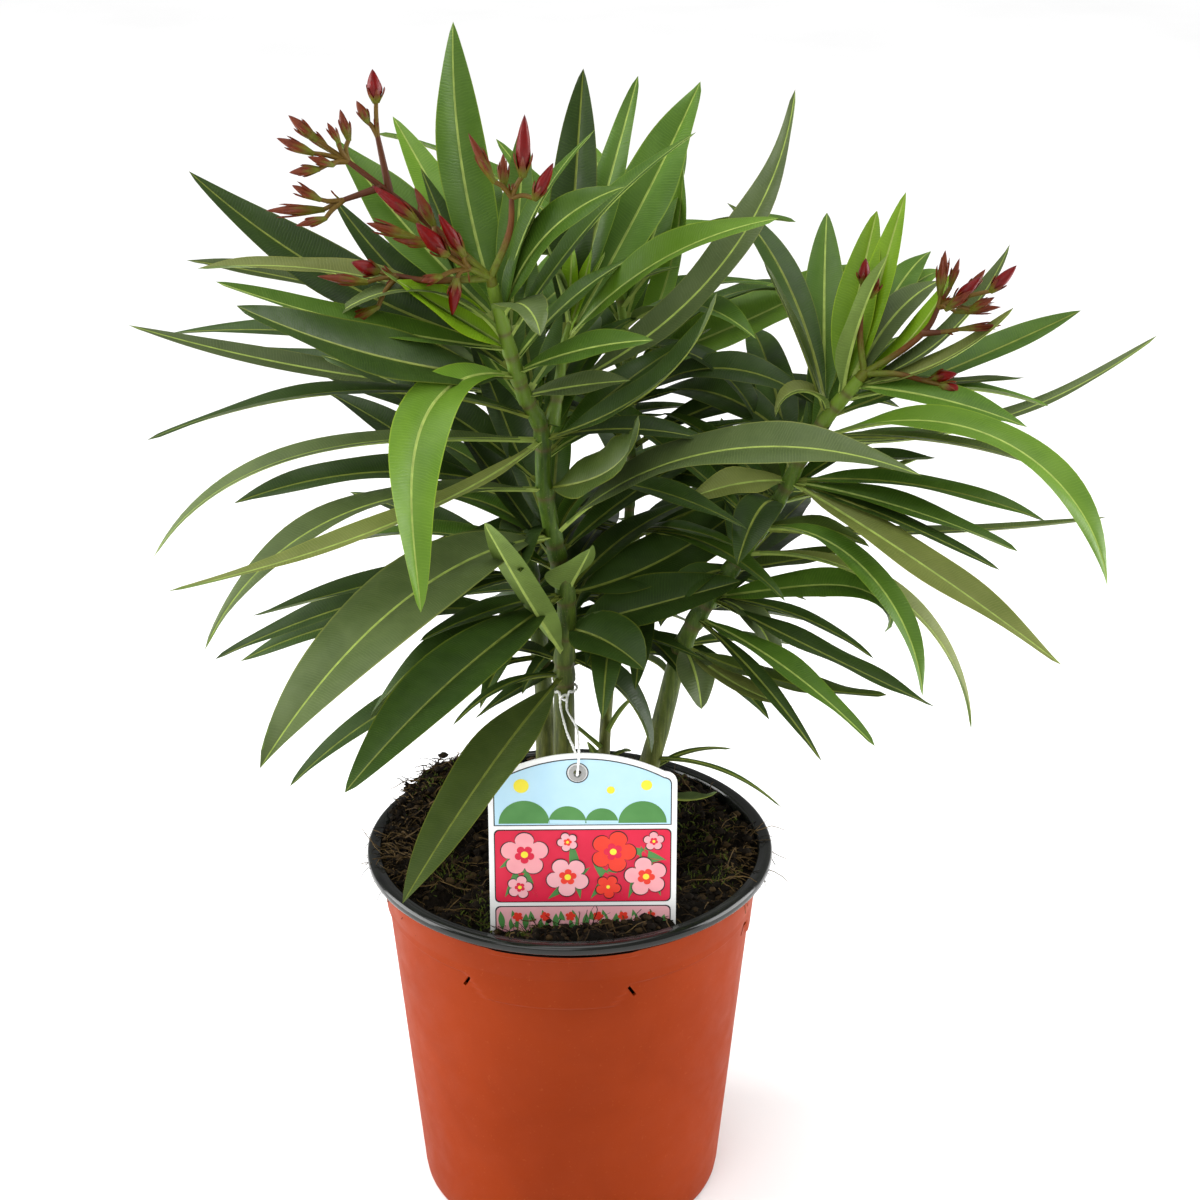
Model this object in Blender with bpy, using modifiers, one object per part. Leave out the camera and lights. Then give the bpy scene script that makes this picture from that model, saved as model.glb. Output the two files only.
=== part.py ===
"""Potted oleander: a bushy young shrub of four leafy stems with two heads of buds, in a 17 cm
two-colour nursery pot of peat, with a printed label tied to its front stem.

Metres, +Z up. The origin is the middle of the pot's flat underside, and -Y is the plant's front.
Stem points, lengths and widths in the tables below are in millimetres, angles in degrees.
A heading of 0 points along +X, 90 along +Y (to the back), 180 along -X and 270 to the front.
"""

import math
import random

import bmesh
import bpy
import numpy as np
from mathutils import Matrix, Vector
from mathutils.bvhtree import BVHTree

MM = 0.001
GAP = 0.3 * MM

# Pot
POT_HEIGHT = 160 * MM
RIM_RADIUS = 85 * MM
RIM_HEIGHT = 6.5 * MM
COLLAR_RADIUS = 80.3 * MM
SHOULDER_RADIUS = 77 * MM
SHOULDER_HEIGHT = 140 * MM
BASE_RADIUS = 64.2 * MM
BASE_ROUNDING = 3 * MM
WALL = 1.6 * MM
FLOOR = 2.2 * MM
POT_STEPS = 56
DRAIN_HOLES = 8
DRAIN_RADIUS = 5 * MM
DRAIN_CIRCLE = 48 * MM
SLITS = 7
SLIT_FIRST = -123
SLIT_HEIGHT = 132 * MM
SLIT_SIZE = (1.3 * MM, 8 * MM, 6 * MM)
SLIT_SLANT = 32

# Soil
SOIL_LEVEL = 150 * MM
SOIL_MOUND = 15 * MM
MOUND_PLACE = (-50 * MM, 42 * MM)
MOUND_SPREAD = 26 * MM
FOOT_PAD = 9 * MM
SOIL_STEPS = 40
SOIL_RINGS = (8, 20, 34, 50, 64, 73)

# Label, its eyelet and the elastic that ties it on
LABEL_WIDTH = 74 * MM
LABEL_SIDE = 68.7 * MM
LABEL_ARCH = 11 * MM
LABEL_CORNER = 5 * MM
LABEL_THICK = 0.8 * MM
LABEL_FOOT = (5 * MM, -59 * MM)
LABEL_LEAN = 2
LABEL_RISE = 0.5 * MM
EYELET_HOLE = 1.7 * MM
EYELET_BARREL = 2.1 * MM
EYELET_FLANGE = 3.4 * MM
EYELET_LIP = 0.5 * MM
EYELET_PLACE = (-2 * MM, 71.5 * MM)
TIE_RADIUS = 0.6 * MM
TIE_KNOT_HEIGHT = 237 * MM

# Each stem: its centre line, foot first, and its radius at the foot and at the tip.
STEMS = {
    "left": (
        [(-2, -5, 152), (-2, -10, 216), (-2, -13, 246), (-1, -18, 278), (-6, -22, 308),
         (-9, -25, 329), (-10, -28, 353), (-16, -32, 368), (-21, -36, 386), (-25, -40, 404),
         (-27, -42, 414)],
        4.3, 2.0),
    "young": ([(-6, -25, 354), (-4, -21, 364), (-1, -16, 382), (3, -10, 396)], 2.3, 1.2),
    "back": (
        [(-11, 10, 152), (-10, 15, 204), (-12, 20, 240), (-18, 27, 290), (-26, 34, 340),
         (-34, 40, 376)],
        3.4, 2.0),
    "middle": (
        [(14, 20, 152), (15, 25, 194), (18, 31, 230), (24, 36, 270), (26, 40, 320),
         (24, 44, 360), (20, 47, 392)],
        2.4, 1.5),
    "right": (
        [(22, 0, 152), (37, 0, 211), (47, 0, 252), (66, 0, 285), (77, 0, 302), (87, 0, 320),
         (95, 0, 338), (104, -1, 352), (113, -2, 364)],
        4.3, 2.2),
}

# The stems that stand in the peat; the young one forks from the left stem.
GROUNDED = ("left", "back", "middle", "right")
FOOT_CUT = 3 * MM

# Heights at which each stem passes from bare wood into its masses of leaves.
CUTS = {
    "left": (237, 296, 344),
    "young": (361,),
    "back": (228, 305),
    "middle": (224, 312),
    "right": (244, 294, 330),
}

# Each whorl: its height on the stem, how many leaves it carries, and those that are set by hand as
# (heading, rise at the base, droop to the tip, length, width, roll), then where they curve more
# the sweep, which turns the blade sideways along its length, and the bow, which over 1 keeps the
# droop for the tip.
WHORLS = {
    "left": [
        (243, 2, [(247, -2, 15, 150, 25, 0), (212, 20, 60, 55, 6, 0)]),
        (252, 3, [(201, 57, -8, 66, 15, 30), (352, -15, 70, 58, 22, 0)]),
        (265, 3, [(318, 12, 40, 42, 27, -20), (5, 14, 0, 72, 28, -20)]),
        (281, 4, [(242, 0, 8, 162, 27, 10, 10, 1), (36, -5, -35, 108, 27, -20),
                  (225, 64, -40, 24, 26, 0), (222, 12, 20, 74, 14, 0)]),
        (292, 1, [(155, 52, 6, 112, 24, 0)]),
        (300, 1, [(140, 62, 0, 104, 22, 0)]),
        (307, 4, [(237, 16, 46, 186, 33, 10, 6, 1), (335, 50, 64, 162, 24, -20),
                  (206, -4, 0, 124, 16, 0), (204, 18, 90, 128, 18, 0)]),
        (328, 4, [(221, 14, 44, 168, 18, 0, 10, 2.2), (328, 18, -50, 60, 26, -30, 0, 2),
                  (150, 35, 30, 110, 20, 10)]),
        (349, 4, [(201, 9, 38, 162, 15, 0, 0, 2.5), (218, -4, 4, 170, 13, 0, -52, 1),
                  (338, 24, -40, 98, 18, -20, 0, 1.6), (352, 18, 34, 68, 15, -10)]),
        (358, 2, [(209, 28, 42, 158, 15, 0)]),
        (368, 2, [(345, 18, 10, 42, 14, -20)]),
        (376, 2, [(257, 24, 106, 134, 21, 20, 76, 1), (216, 14, -18, 126, 26, 35)]),
        (378, 3, [(333, 30, 20, 60, 16, -25), (146, 20, -26, 100, 17, 20),
                  (140, 52, -10, 84, 13, 10)]),
        (388, 6, [(168, 12, -30, 136, 24, 30), (200, 36, 0, 52, 19, 40),
                  (200, 12, -14, 114, 17, 20),
                  (196, 66, 106, 80, 15, 0), (196, 34, -4, 58, 9, 0),
                  (70, 76, 0, 84, 15, 0)]),
        (398, 7, [(125, 54, -42, 112, 21, 10), (142, 29, -14, 99, 25, 20), (350, 80, 62, 74, 19, -35),
                  (124, 44, 8, 98, 17, 10), (180, 28, 34, 114, 14, 10),
                  (20, 84, 44, 80, 13, 0), (308, 84, 164, 33, 18, 0)]),
    ],
    "young": [
        (366, 2, [(12, 24, -54, 150, 20, -20, 0, 1.3)]),
        (384, 4, [(46, 44, -10, 115, 26, -15), (332, 52, 36, 105, 22, -30),
                  (78, 72, 4, 102, 19, 0), (55, 62, 0, 104, 15, 0)]),
        (394, 3, [(30, 72, 0, 27, 6, 0), (10, 62, 0, 26, 5, 0),
                  (200, 70, 0, 30, 7, 0)]),
    ],
    "back": [
        (236, 3, [(205, 5, 45, 120, 17, 10)]),
        (254, 3, [(190, 15, 40, 125, 18, 15)]),
        (272, 3, [(200, 5, 25, 135, 17, 15)]),
        (288, 3, [(150, 35, 20, 110, 19, 15), (270, 32, 36, 100, 19, 0)]),
        (306.5, 4, [(200, 25, 40, 120, 18, 15), (320, 26, 40, 118, 19, 0)]),
        (320, 4, [(160, 30, 30, 130, 19, 20)]),
        (334, 4, [(145, 45, 25, 105, 19, 15)]),
        (347, 3, [(180, 4, -14, 150, 13, 20)]),
        (359, 3, [(170, 12, 20, 135, 16, 15), (35, 44, 50, 125, 19, 0)]),
        (370, 3, [(178, 20, 12, 122, 15, 15), (110, 60, 15, 92, 16, 0)]),
    ],
    "middle": [
        (230, 3, [(10, 10, 60, 70, 14, -10)]),
        (246, 3, []),
        (262, 3, [(60, 20, 50, 110, 18, 0)]),
        (280, 3, [(20, 25, 50, 120, 19, -15)]),
        (298, 3, [(340, 35, 50, 90, 18, -20)]),
        (320, 3, [(10, 35, 60, 120, 19, -20)]),
        (338, 4, [(45, 40, 50, 115, 19, -10), (330, 50, 80, 90, 18, -20)]),
        (354, 3, [(15, 14, -12, 106, 24, -25), (50, 38, -56, 88, 14, 0)]),
        (362, 1, [(335, 20, 100, 80, 17, 0)]),
        (370, 3, [(60, 55, 10, 84, 17, 0), (150, 56, 12, 92, 17, 10),
                  (300, 40, 55, 100, 18, -10)]),
        (384, 3, [(50, 64, 10, 80, 15, 0), (235, 45, 45, 85, 15, 0)]),
    ],
    "right": [
        (250, 4, [(324, -10, -25, 95, 15, 0), (290, -10, 70, 30, 16, 0),
                  (35, -5, 20, 62, 12, 0), (312, -20, -30, 62, 12, 0)]),
        (262, 3, [(304, 6, 24, 112, 14, 0), (298, -4, 20, 96, 8, 0)]),
        (271, 4, [(318, -8, -2, 110, 14, 0), (338, 7, 40, 72, 10, 0),
                  (325, 10, 100, 46, 15, 0), (345, 14, 52, 87, 17, -20, 0, 5)]),
        (283, 3, [(200, 10, 90, 40, 14, 20), (8, 4, -6, 50, 12, -10)]),
        (290, 1, [(344, 14, 98, 132, 13, 0)]),
        (301, 4, [(14, -10, -12, 152, 10, 0), (340, 20, 46, 46, 13, -10),
                  (316, 23, 106, 110, 15, 0)]),
        (312, 3, [(150, 15, 40, 90, 19, 20), (250, 30, 70, 60, 17, 10),
                  (5, 12, -10, 62, 10, 0)]),
        (321, 5, [(338, -2, 16, 94, 15, -10), (314, -11, 8, 138, 20, -5),
                  (204, 13, 26, 44, 16, 20), (347, 10, 30, 102, 13, -10),
                  (329, -6, 12, 92, 12, 0)]),
        (332, 3, [(350, 0, -4, 52, 13, 0), (130, 30, 60, 95, 18, 20)]),
        (339, 3, [(16, -12, -46, 155, 11, 0), (318, 26, 76, 160, 22, -5, 0, 1.8),
                  (350, 10, 34, 108, 9, 0)]),
        (348, 4, [(27, 9, -6, 124, 18, -10), (113, 66, 62, 116, 14, 0),
                  (185, 95, 190, 34, 13, 0), (165, 72, 12, 66, 9, 0)]),
        (355, 3, [(325, 85, 22, 64, 16, 0), (65, 72, 20, 76, 17, 0),
                  (2, 16, 38, 84, 14, 0)]),
        (361, 7, [(336, 4, 20, 70, 18, -15), (352, 8, -44, 70, 12, -10),
                  (55, 66, 8, 78, 13, 0), (10, 12, -60, 84, 14, 0),
                  (45, 58, 56, 64, 15, -10), (24, 22, -46, 64, 11, 0),
                  (5, 0, -2, 68, 10, 0)]),
    ],
}

# The rule for a leaf that isn't set by hand.
WHORL_STEP = 120
RULE_LENGTH = (112, 150)
RULE_SLENDER = 0.15
RULE_RISE = (8, 50)
RULE_DROOP = (25, 60)
SEED = 11
# No rule leaf faces the front below these heights: the front is bare there or set by hand.
FRONT = (220, 335)
FRONT_BARE = {"left": 420, "young": 420, "right": 420, "back": 300, "middle": 300}

# Blade sections, from the axis of the stem to the tip.
BLADE_STEPS = (0.0, 0.06, 0.2, 0.38, 0.58, 0.79, 1.0)
STALK_WIDTH = 3.0
BLADE_FOLD = 18
BLADE_THICK = 0.011
CLEAR_FROM = 0.14
NUDGES = ((0, 0), (0, 5), (0, -5), (6, 0), (-6, 0), (0, 10), (0, -10), (10, 6), (-10, 6), (0, 16))

# Heads of buds, one on the tip of a stem. Each spray is a stalk, as points from the tip, and buds
# as (foot, end, thickness), each on a short stalk of its own from the spray's last point.
BUD_HEADS = {
    "left": [
        ([(0, 0, 0), (7, 0, 17), (8, 2, 30)],
         [((2, 0, 35), (-7, 0, 53), 4), ((5, 5, 31), (5, 7, 44), 4), ((12, 0, 37), (13, -2, 60), 6),
          ((16, -1, 29), (23, -3, 43), 5)]),
        ([(0, 0, 0), (-7, -1, 6), (-18, -1, 12)],
         [((-26, 0, 21), (-42, 2, 34), 5), ((-27, -3, 16), (-44, -5, 22), 5),
          ((-20, 4, 18), (-27, 6, 32), 5)]),
        ([(0, 0, 0), (-8, -4, 5)],
         [((-15, -6, 10), (-26, -9, 23), 7), ((-9, -6, 10), (-18, -8, 26), 5),
          ((-12, -6, 2), (-14, -7, -12), 5), ((-17, -7, 3), (-25, -8, 1), 4)]),
        ([(0, 0, 0), (-21, 8, 17), (-41, 6, 34), (-51, 6, 42)],
         [((-61, 6, 49), (-71, 7, 58), 5), ((-62, 3, 45), (-75, 2, 51), 5), ((-60, 1, 40), (-71, 0, 39), 4),
          ((-50, 9, 48), (-53, 12, 59), 4), ((-53, 5, 48), (-57, 4, 56), 3)]),
        ([(-39, 6, 32), (-53, 3, 28)],
         [((-60, 0, 29), (-70, -2, 35), 4), ((-59, 2, 25), (-80, 1, 25), 5)]),
        ([(-36, 7, 30), (-40, 11, 50)],
         [((-40, 12, 61), (-41, 13, 73), 6), ((-43, 11, 54), (-47, 12, 62), 4)]),
        ([(0, 0, 0), (-22, -3, 0), (-34, -3, 2)],
         [((-40, -2, 3), (-50, -3, 7), 6), ((-44, -5, 0), (-62, -7, 3), 4),
          ((-40, -8, -8), (-58, -12, -16), 4)]),
    ],
    "right": [
        ([(0, 0, 0), (14, -2, 10), (23, -3, 19), (27, -3, 28)],
         [((27, -3, 32), (28, -4, 50), 6), ((32, -4, 29), (42, -5, 40), 5), ((33, -1, 25), (51, -2, 27), 4),
          ((31, -1, 34), (34, -1, 46), 3), ((45, -9, 35), (54, -11, 46), 6)]),
        ([(21, -3, 17), (28, -5, 18)], [((34, -5, 19), (51, -6, 21), 3)]),
        ([(0, 0, 0), (12, -4, 1), (22, -6, -1)],
         [((25, -6, 0), (35, -7, 2), 5), ((28, -8, -2), (40, -10, -7), 6)]),
        ([(0, 0, 0), (-2, 2, 14), (-2, 2, 28)],
         [((-2, 2, 35), (-1, 3, 45), 5), ((1, 1, 30), (4, 0, 38), 4)]),
    ],
}
BUD_STALK_RADIUS = 1.1
BUD_NECK_RADIUS = 0.9
BUD_SUNK = 2.0
BUD_SIDES = 5
STALK_SIDES = 5

COLOURS = {
    "pot": ((0.46, 0.11, 0.035), 0.55),
    "rim": ((0.03, 0.035, 0.03), 0.3),
    "soil": ((0.03, 0.018, 0.01), 0.95),
    "stem": ((0.16, 0.22, 0.06), 0.6),
    "leaf": ((0.06, 0.14, 0.03), 0.4),
    "bud": ((0.32, 0.02, 0.03), 0.5),
    "label": ((0.85, 0.83, 0.82), 0.35),
    "eyelet": ((0.45, 0.45, 0.45), 0.35),
    "tie": ((0.85, 0.85, 0.83), 0.6),
}


# ---------------------------------------------------------------- scene and small helpers

def clear_scene():
    for obj in list(bpy.data.objects):
        bpy.data.objects.remove(obj, do_unlink=True)


def new_collection(name, hidden=False):
    found = bpy.data.collections.new(name)
    bpy.context.scene.collection.children.link(found)
    found.hide_render = hidden
    return found


def material(kind):
    found = bpy.data.materials.get(kind)
    if found:
        return found
    colour, roughness = COLOURS[kind]
    made = bpy.data.materials.new(kind)
    made.use_nodes = True
    shader = made.node_tree.nodes["Principled BSDF"]
    shader.inputs["Base Color"].default_value = (*colour, 1)
    shader.inputs["Roughness"].default_value = roughness
    return made


def mesh_object(name, points, faces, kind, collection):
    mesh = bpy.data.meshes.new(name)
    mesh.from_pydata([tuple(p) for p in points], [], faces)
    obj = bpy.data.objects.new(name, mesh)
    collection.objects.link(obj)
    mesh.materials.append(material(kind))
    return obj


def evaluated_mesh(obj):
    bpy.context.view_layer.update()
    graph = bpy.context.evaluated_depsgraph_get()
    return bpy.data.meshes.new_from_object(obj.evaluated_get(graph))


def make_real(obj):
    """Applies an object's modifiers, or turns a curve into a mesh with its caps welded on."""
    name = obj.name
    mesh = evaluated_mesh(obj)
    work = bmesh.new()
    work.from_mesh(mesh)
    bmesh.ops.remove_doubles(work, verts=work.verts, dist=0.002 * MM)
    bmesh.ops.triangulate(work, faces=work.faces)
    bmesh.ops.recalc_face_normals(work, faces=work.faces)
    work.to_mesh(mesh)
    work.free()
    made = bpy.data.objects.new(name, mesh)
    made.matrix_world = obj.matrix_world
    for collection in obj.users_collection:
        collection.objects.link(made)
    bpy.data.objects.remove(obj, do_unlink=True)
    made.name = name
    return made


def shade_round(obj, angle=35):
    obj.data.shade_smooth()
    obj.data.set_sharp_from_angle(angle=math.radians(angle))


def direction(heading, rise):
    turn = math.radians(heading)
    lift = math.radians(rise)
    return Vector((math.cos(lift) * math.cos(turn), math.cos(lift) * math.sin(turn), math.sin(lift)))


# ---------------------------------------------------------------- pot

def turned(name, profile, steps, kind, collection, closed=False):
    """A profile in the XZ plane, turned round Z. It runs down the outer side."""
    edges = [(i, i + 1) for i in range(len(profile) - 1)]
    if closed:
        edges.append((len(profile) - 1, 0))
    mesh = bpy.data.meshes.new(name)
    mesh.from_pydata([(r, 0, z) for r, z in profile], edges, [])
    obj = bpy.data.objects.new(name, mesh)
    collection.objects.link(obj)
    mesh.materials.append(material(kind))
    screw = obj.modifiers.new("Turn", "SCREW")
    screw.steps = steps
    screw.render_steps = steps
    screw.use_merge_vertices = True
    screw.merge_threshold = 0.00002
    return obj


def outer_radius(z):
    """The wall's outer radius: a long taper up to the shoulder, then a flared collar."""
    heights = (0, SHOULDER_HEIGHT, POT_HEIGHT - RIM_HEIGHT)
    return float(np.interp(z, heights, (BASE_RADIUS, SHOULDER_RADIUS, COLLAR_RADIUS)))


def wall_top():
    return POT_HEIGHT - RIM_HEIGHT


def build_pot(collection, cutters):
    top = wall_top()
    corner = [
        (BASE_RADIUS - BASE_ROUNDING * (1 - math.cos(a)), BASE_ROUNDING * (1 - math.sin(a)))
        for a in (0, math.pi / 6, math.pi / 3, math.pi / 2)
    ]
    outer = [(outer_radius(top), top), (outer_radius(SHOULDER_HEIGHT), SHOULDER_HEIGHT)]
    inner = [
        (BASE_RADIUS - WALL - 1 * MM, FLOOR),
        (outer_radius(SHOULDER_HEIGHT) - WALL, SHOULDER_HEIGHT),
        (outer_radius(top) - WALL, top),
    ]
    profile = [(0, FLOOR)] + inner + outer + corner + [(0, 0)]
    pot = turned("pot", profile, POT_STEPS, "pot", collection)

    tools = []
    for i in range(DRAIN_HOLES):
        turn = 2 * math.pi * (i + 0.5) / DRAIN_HOLES
        bpy.ops.mesh.primitive_cylinder_add(
            vertices=16, radius=DRAIN_RADIUS, depth=6 * FLOOR,
            location=(DRAIN_CIRCLE * math.cos(turn), DRAIN_CIRCLE * math.sin(turn), 0))
        tools.append(bpy.context.object)
    for i in range(SLITS):
        turn = math.radians(SLIT_FIRST + 360 * i / SLITS)
        slant = math.radians(SLIT_SLANT if i % 2 else -SLIT_SLANT)
        radius = outer_radius(SLIT_HEIGHT)
        bpy.ops.mesh.primitive_cube_add(size=1)
        tool = bpy.context.object
        size = Matrix.Diagonal((SLIT_SIZE[1], SLIT_SIZE[0], SLIT_SIZE[2], 1))
        place = Matrix.Translation((radius * math.cos(turn), radius * math.sin(turn), SLIT_HEIGHT))
        tool.data.transform(place @ Matrix.Rotation(turn, 4, "Z") @ Matrix.Rotation(slant, 4, "X") @ size)
        tools.append(tool)
    for tool in tools:
        for old in tool.users_collection:
            old.objects.unlink(tool)
        cutters.objects.link(tool)
        tool.hide_render = True
        tool.display_type = "WIRE"
    cut = pot.modifiers.new("Holes", "BOOLEAN")
    cut.operation = "DIFFERENCE"
    cut.operand_type = "COLLECTION"
    cut.collection = cutters
    cut.solver = "EXACT"
    shade_round(pot)


def build_rim(collection):
    """The rolled lip that sits on the wall: a ring, round on its outer side."""
    seat = wall_top() + GAP
    top = POT_HEIGHT
    inside = COLLAR_RADIUS - WALL
    bulge = 1.8 * MM
    lip = [
        (inside + 1.0 * MM, top),
        (RIM_RADIUS - bulge, top),
        (RIM_RADIUS - 0.4 * MM, top - 0.9 * MM),
        (RIM_RADIUS, top - bulge),
        (RIM_RADIUS, seat + 1.0 * MM),
        (RIM_RADIUS - 1.4 * MM, seat),
        (inside, seat),
        (inside, top - 1.0 * MM),
    ]
    ring = turned("pot_rim", lip, POT_STEPS, "rim", collection, closed=True)
    shade_round(ring)


# ---------------------------------------------------------------- soil

def feet():
    return [Vector(STEMS[name][0][0]) * MM for name in GROUNDED]


def soil_height(x, y):
    """Peat level: a mound at the back left, a shallow roll, and a flat pad under each stem."""
    dx = (x - MOUND_PLACE[0]) / MOUND_SPREAD
    dy = (y - MOUND_PLACE[1]) / MOUND_SPREAD
    level = SOIL_LEVEL + SOIL_MOUND * math.exp(-dx * dx - dy * dy)
    roll = 0.8 * MM * math.sin(x / (9 * MM)) * math.cos(y / (11 * MM))
    level += roll if y > LABEL_FOOT[1] + FOOT_PAD else -abs(roll)
    for foot in feet():
        near = math.hypot(x - foot.x, y - foot.y)
        if near < FOOT_PAD:
            return foot.z - GAP
        blend = min(1.0, (near - FOOT_PAD) / FOOT_PAD)
        level = (foot.z - GAP) * (1 - blend) + level * blend
    return level


def build_soil(collection):
    bottom = FLOOR + GAP
    low_radius = BASE_RADIUS - WALL - 1 * MM - 2 * GAP
    edge = [0.0] + [r * MM for r in SOIL_RINGS]
    points = [(0, 0, soil_height(0, 0))]
    for radius in edge[1:]:
        for i in range(SOIL_STEPS):
            turn = 2 * math.pi * i / SOIL_STEPS
            x, y = radius * math.cos(turn), radius * math.sin(turn)
            points.append((x, y, soil_height(x, y)))
    for i in range(SOIL_STEPS):
        turn = 2 * math.pi * i / SOIL_STEPS
        points.append((low_radius * math.cos(turn), low_radius * math.sin(turn), bottom))
    points.append((0, 0, bottom))

    def ring(k, i):
        return 1 + k * SOIL_STEPS + i % SOIL_STEPS

    faces = [(0, ring(0, i), ring(0, i + 1)) for i in range(SOIL_STEPS)]
    rings = len(edge)
    for k in range(rings - 1):
        for i in range(SOIL_STEPS):
            faces.append((ring(k, i), ring(k + 1, i), ring(k + 1, i + 1)))
            faces.append((ring(k, i), ring(k + 1, i + 1), ring(k, i + 1)))
    last = len(points) - 1
    faces += [(last, ring(rings - 1, i + 1), ring(rings - 1, i)) for i in range(SOIL_STEPS)]
    mesh_object("soil", points, faces, "soil", collection)


# ---------------------------------------------------------------- stems

def smooth_line(points, per_span=8):
    """A Catmull-Rom curve through the points, as an array of points in millimetres."""
    ends = np.array([points[0], *points, points[-1]], float)
    ends[0] = 2 * ends[1] - ends[2]
    ends[-1] = 2 * ends[-2] - ends[-3]
    line = []
    for a, b, c, d in zip(ends, ends[1:], ends[2:], ends[3:]):
        for t in np.arange(per_span) / per_span:
            line.append(0.5 * (2 * b + (c - a) * t + (2 * a - 5 * b + 4 * c - d) * t * t
                               + (3 * b - a - 3 * c + d) * t ** 3))
    line.append(ends[-2])
    return np.array(line)


def stem_point(stem, z):
    line = smooth_line(STEMS[stem][0])
    return np.array([np.interp(z, line[:, 2], line[:, axis]) for axis in range(2)] + [z])


def stem_radius(stem, z):
    """Taper from foot to tip, with a flare at the foot and a slight swelling at each whorl."""
    points, foot, tip = STEMS[stem]
    low, high = points[0][2], points[-1][2]
    radius = foot + (tip - foot) * (z - low) / (high - low)
    flare = 1 + 0.28 * max(0, 1 - (z - low) / 12) ** 2
    swelling = max([0.14 * max(0, 1 - abs(z - row[0]) / 4) for row in WHORLS[stem]])
    return radius * (flare + swelling)


def stem_piece(name, stem, low, high, collection, pitch=9):
    """One stretch of a stem as a tapering curve, turned into a mesh, and cut level at its foot."""
    heights = list(np.linspace(low, high, max(2, round((high - low) / pitch)) + 1))
    heights += [row[0] for row in WHORLS[stem] if low + 3 < row[0] < high - 3]
    heights = sorted(set(round(float(z), 2) for z in heights))
    kept = [heights[0]]
    for z in heights[1:-1]:
        if z - kept[-1] > 3 and heights[-1] - z > 3:
            kept.append(z)
    kept.append(heights[-1])
    curve = bpy.data.curves.new(name, "CURVE")
    curve.dimensions = "3D"
    curve.bevel_depth = 1 * MM
    curve.bevel_resolution = 2
    curve.use_fill_caps = True
    spline = curve.splines.new("POLY")
    spline.points.add(len(kept) - 1)
    for point, z in zip(spline.points, kept):
        point.co = (*(stem_point(stem, z) * MM), 1)
        point.radius = stem_radius(stem, z)
    obj = bpy.data.objects.new(name, curve)
    collection.objects.link(obj)
    curve.materials.append(material("stem"))
    piece = make_real(obj)
    foot = STEMS[stem][0][0][2] * MM
    if stem in GROUNDED and low * MM == foot:
        for vertex in piece.data.vertices:
            if vertex.co.z < foot + FOOT_CUT:
                vertex.co.z = foot
    return piece


# ---------------------------------------------------------------- leaves

def half_width(t, width):
    """Half the blade's breadth at t: a short stalk, then a long lance shape."""
    if t < 0.08:
        return STALK_WIDTH / 2
    u = (t - 0.08) / 0.92
    lance = math.sin(math.pi * u ** 0.85) ** 0.8 if u < 1 else 0
    return max(STALK_WIDTH / 2 * (1 - u), width / 2 * lance)


def blade_frame(leaf, steps):
    """Centre, forward, side and up vectors at each step from the base to the tip, in mm."""
    heading, rise, droop, length, _, roll, *curve = leaf
    sweep, bow = curve or (0, 1)
    place = np.zeros(3)
    frames = []
    count = 24
    wanted = {round(t * count) for t in steps}
    for i in range(count + 1):
        t = i / count
        facing = heading + sweep * (t - 0.5)
        turn = math.radians(facing)
        ahead = np.array(direction(facing, rise - droop * (bow + 1) / 2 * t ** bow))
        side = np.array([math.sin(turn), -math.cos(turn), 0.0])
        up = np.cross(side, ahead)
        tilt = math.radians(roll)
        side, up = side * math.cos(tilt) + up * math.sin(tilt), up * math.cos(tilt) - side * math.sin(tilt)
        if i in wanted:
            frames.append((t, place.copy(), ahead, side, up))
        place = place + ahead * length / count
    return frames


def blade(base, leaf, start=0.0):
    """Points and triangles of one leaf, a folded lance that starts on the axis of its stem."""
    length, width = leaf[3], leaf[4]
    thick = max(BLADE_THICK * length, 1.2)
    fold = math.radians(BLADE_FOLD)
    frames = [f for f in blade_frame(leaf, BLADE_STEPS) if f[0] >= start]
    points = []
    if start == 0:
        points.append(base)
        frames = frames[1:]
    rows = []
    for t, place, _, side, up in frames[:-1]:
        half = half_width(t, width)
        centre = base + place
        across = side * half * math.cos(fold)
        lift = up * half * math.sin(fold)
        depth = up * thick * (1 if t < 0.7 else 0.75)
        rows.append(len(points))
        points += [centre - across + lift, centre - depth, centre + across + lift, centre]
    points.append(base + frames[-1][1])
    tip = len(points) - 1
    faces = []
    first = rows[0]
    for k in range(4):
        near, far = first + k, first + (k + 1) % 4
        faces.append((0, far, near) if start == 0 else (near, far, first))
    for a, b in zip(rows, rows[1:]):
        for k in range(4):
            n = (k + 1) % 4
            faces.append((a + k, a + n, b + n))
            faces.append((a + k, b + n, b + k))
    for k in range(4):
        faces.append((rows[-1] + k, rows[-1] + (k + 1) % 4, tip))
    faces = [f for f in faces if len(set(f)) == 3]
    return np.array(points) * MM, faces


def tree_of(points, faces):
    return BVHTree.FromPolygons([tuple(p) for p in points], faces)


def rule_leaves(stem, row, draw):
    """The hand-set leaves of a whorl, with the free places of the whorl filled by the rule."""
    z, count, given = row
    leaves = list(given)
    low, high = WHORLS[stem][0][0], WHORLS[stem][-1][0]
    up = (z - low) / (high - low)
    first = given[0][0] if given else draw.uniform(0, 360)
    for k in range(3):
        heading = (first + WHORL_STEP * k) % 360 + draw.uniform(-12, 12)
        length = draw.uniform(*RULE_LENGTH)
        rise = RULE_RISE[0] + (RULE_RISE[1] - RULE_RISE[0]) * up + draw.uniform(-8, 8)
        droop = draw.uniform(*RULE_DROOP)
        near = min([abs((heading - leaf[0] + 180) % 360 - 180) for leaf in leaves] or [180])
        bare = FRONT[0] < heading % 360 < FRONT[1] and z < FRONT_BARE[stem]
        if len(leaves) < count and near > 45 and not bare:
            leaves.append((heading, rise, droop, length, length * RULE_SLENDER, 0))
    return leaves


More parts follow.
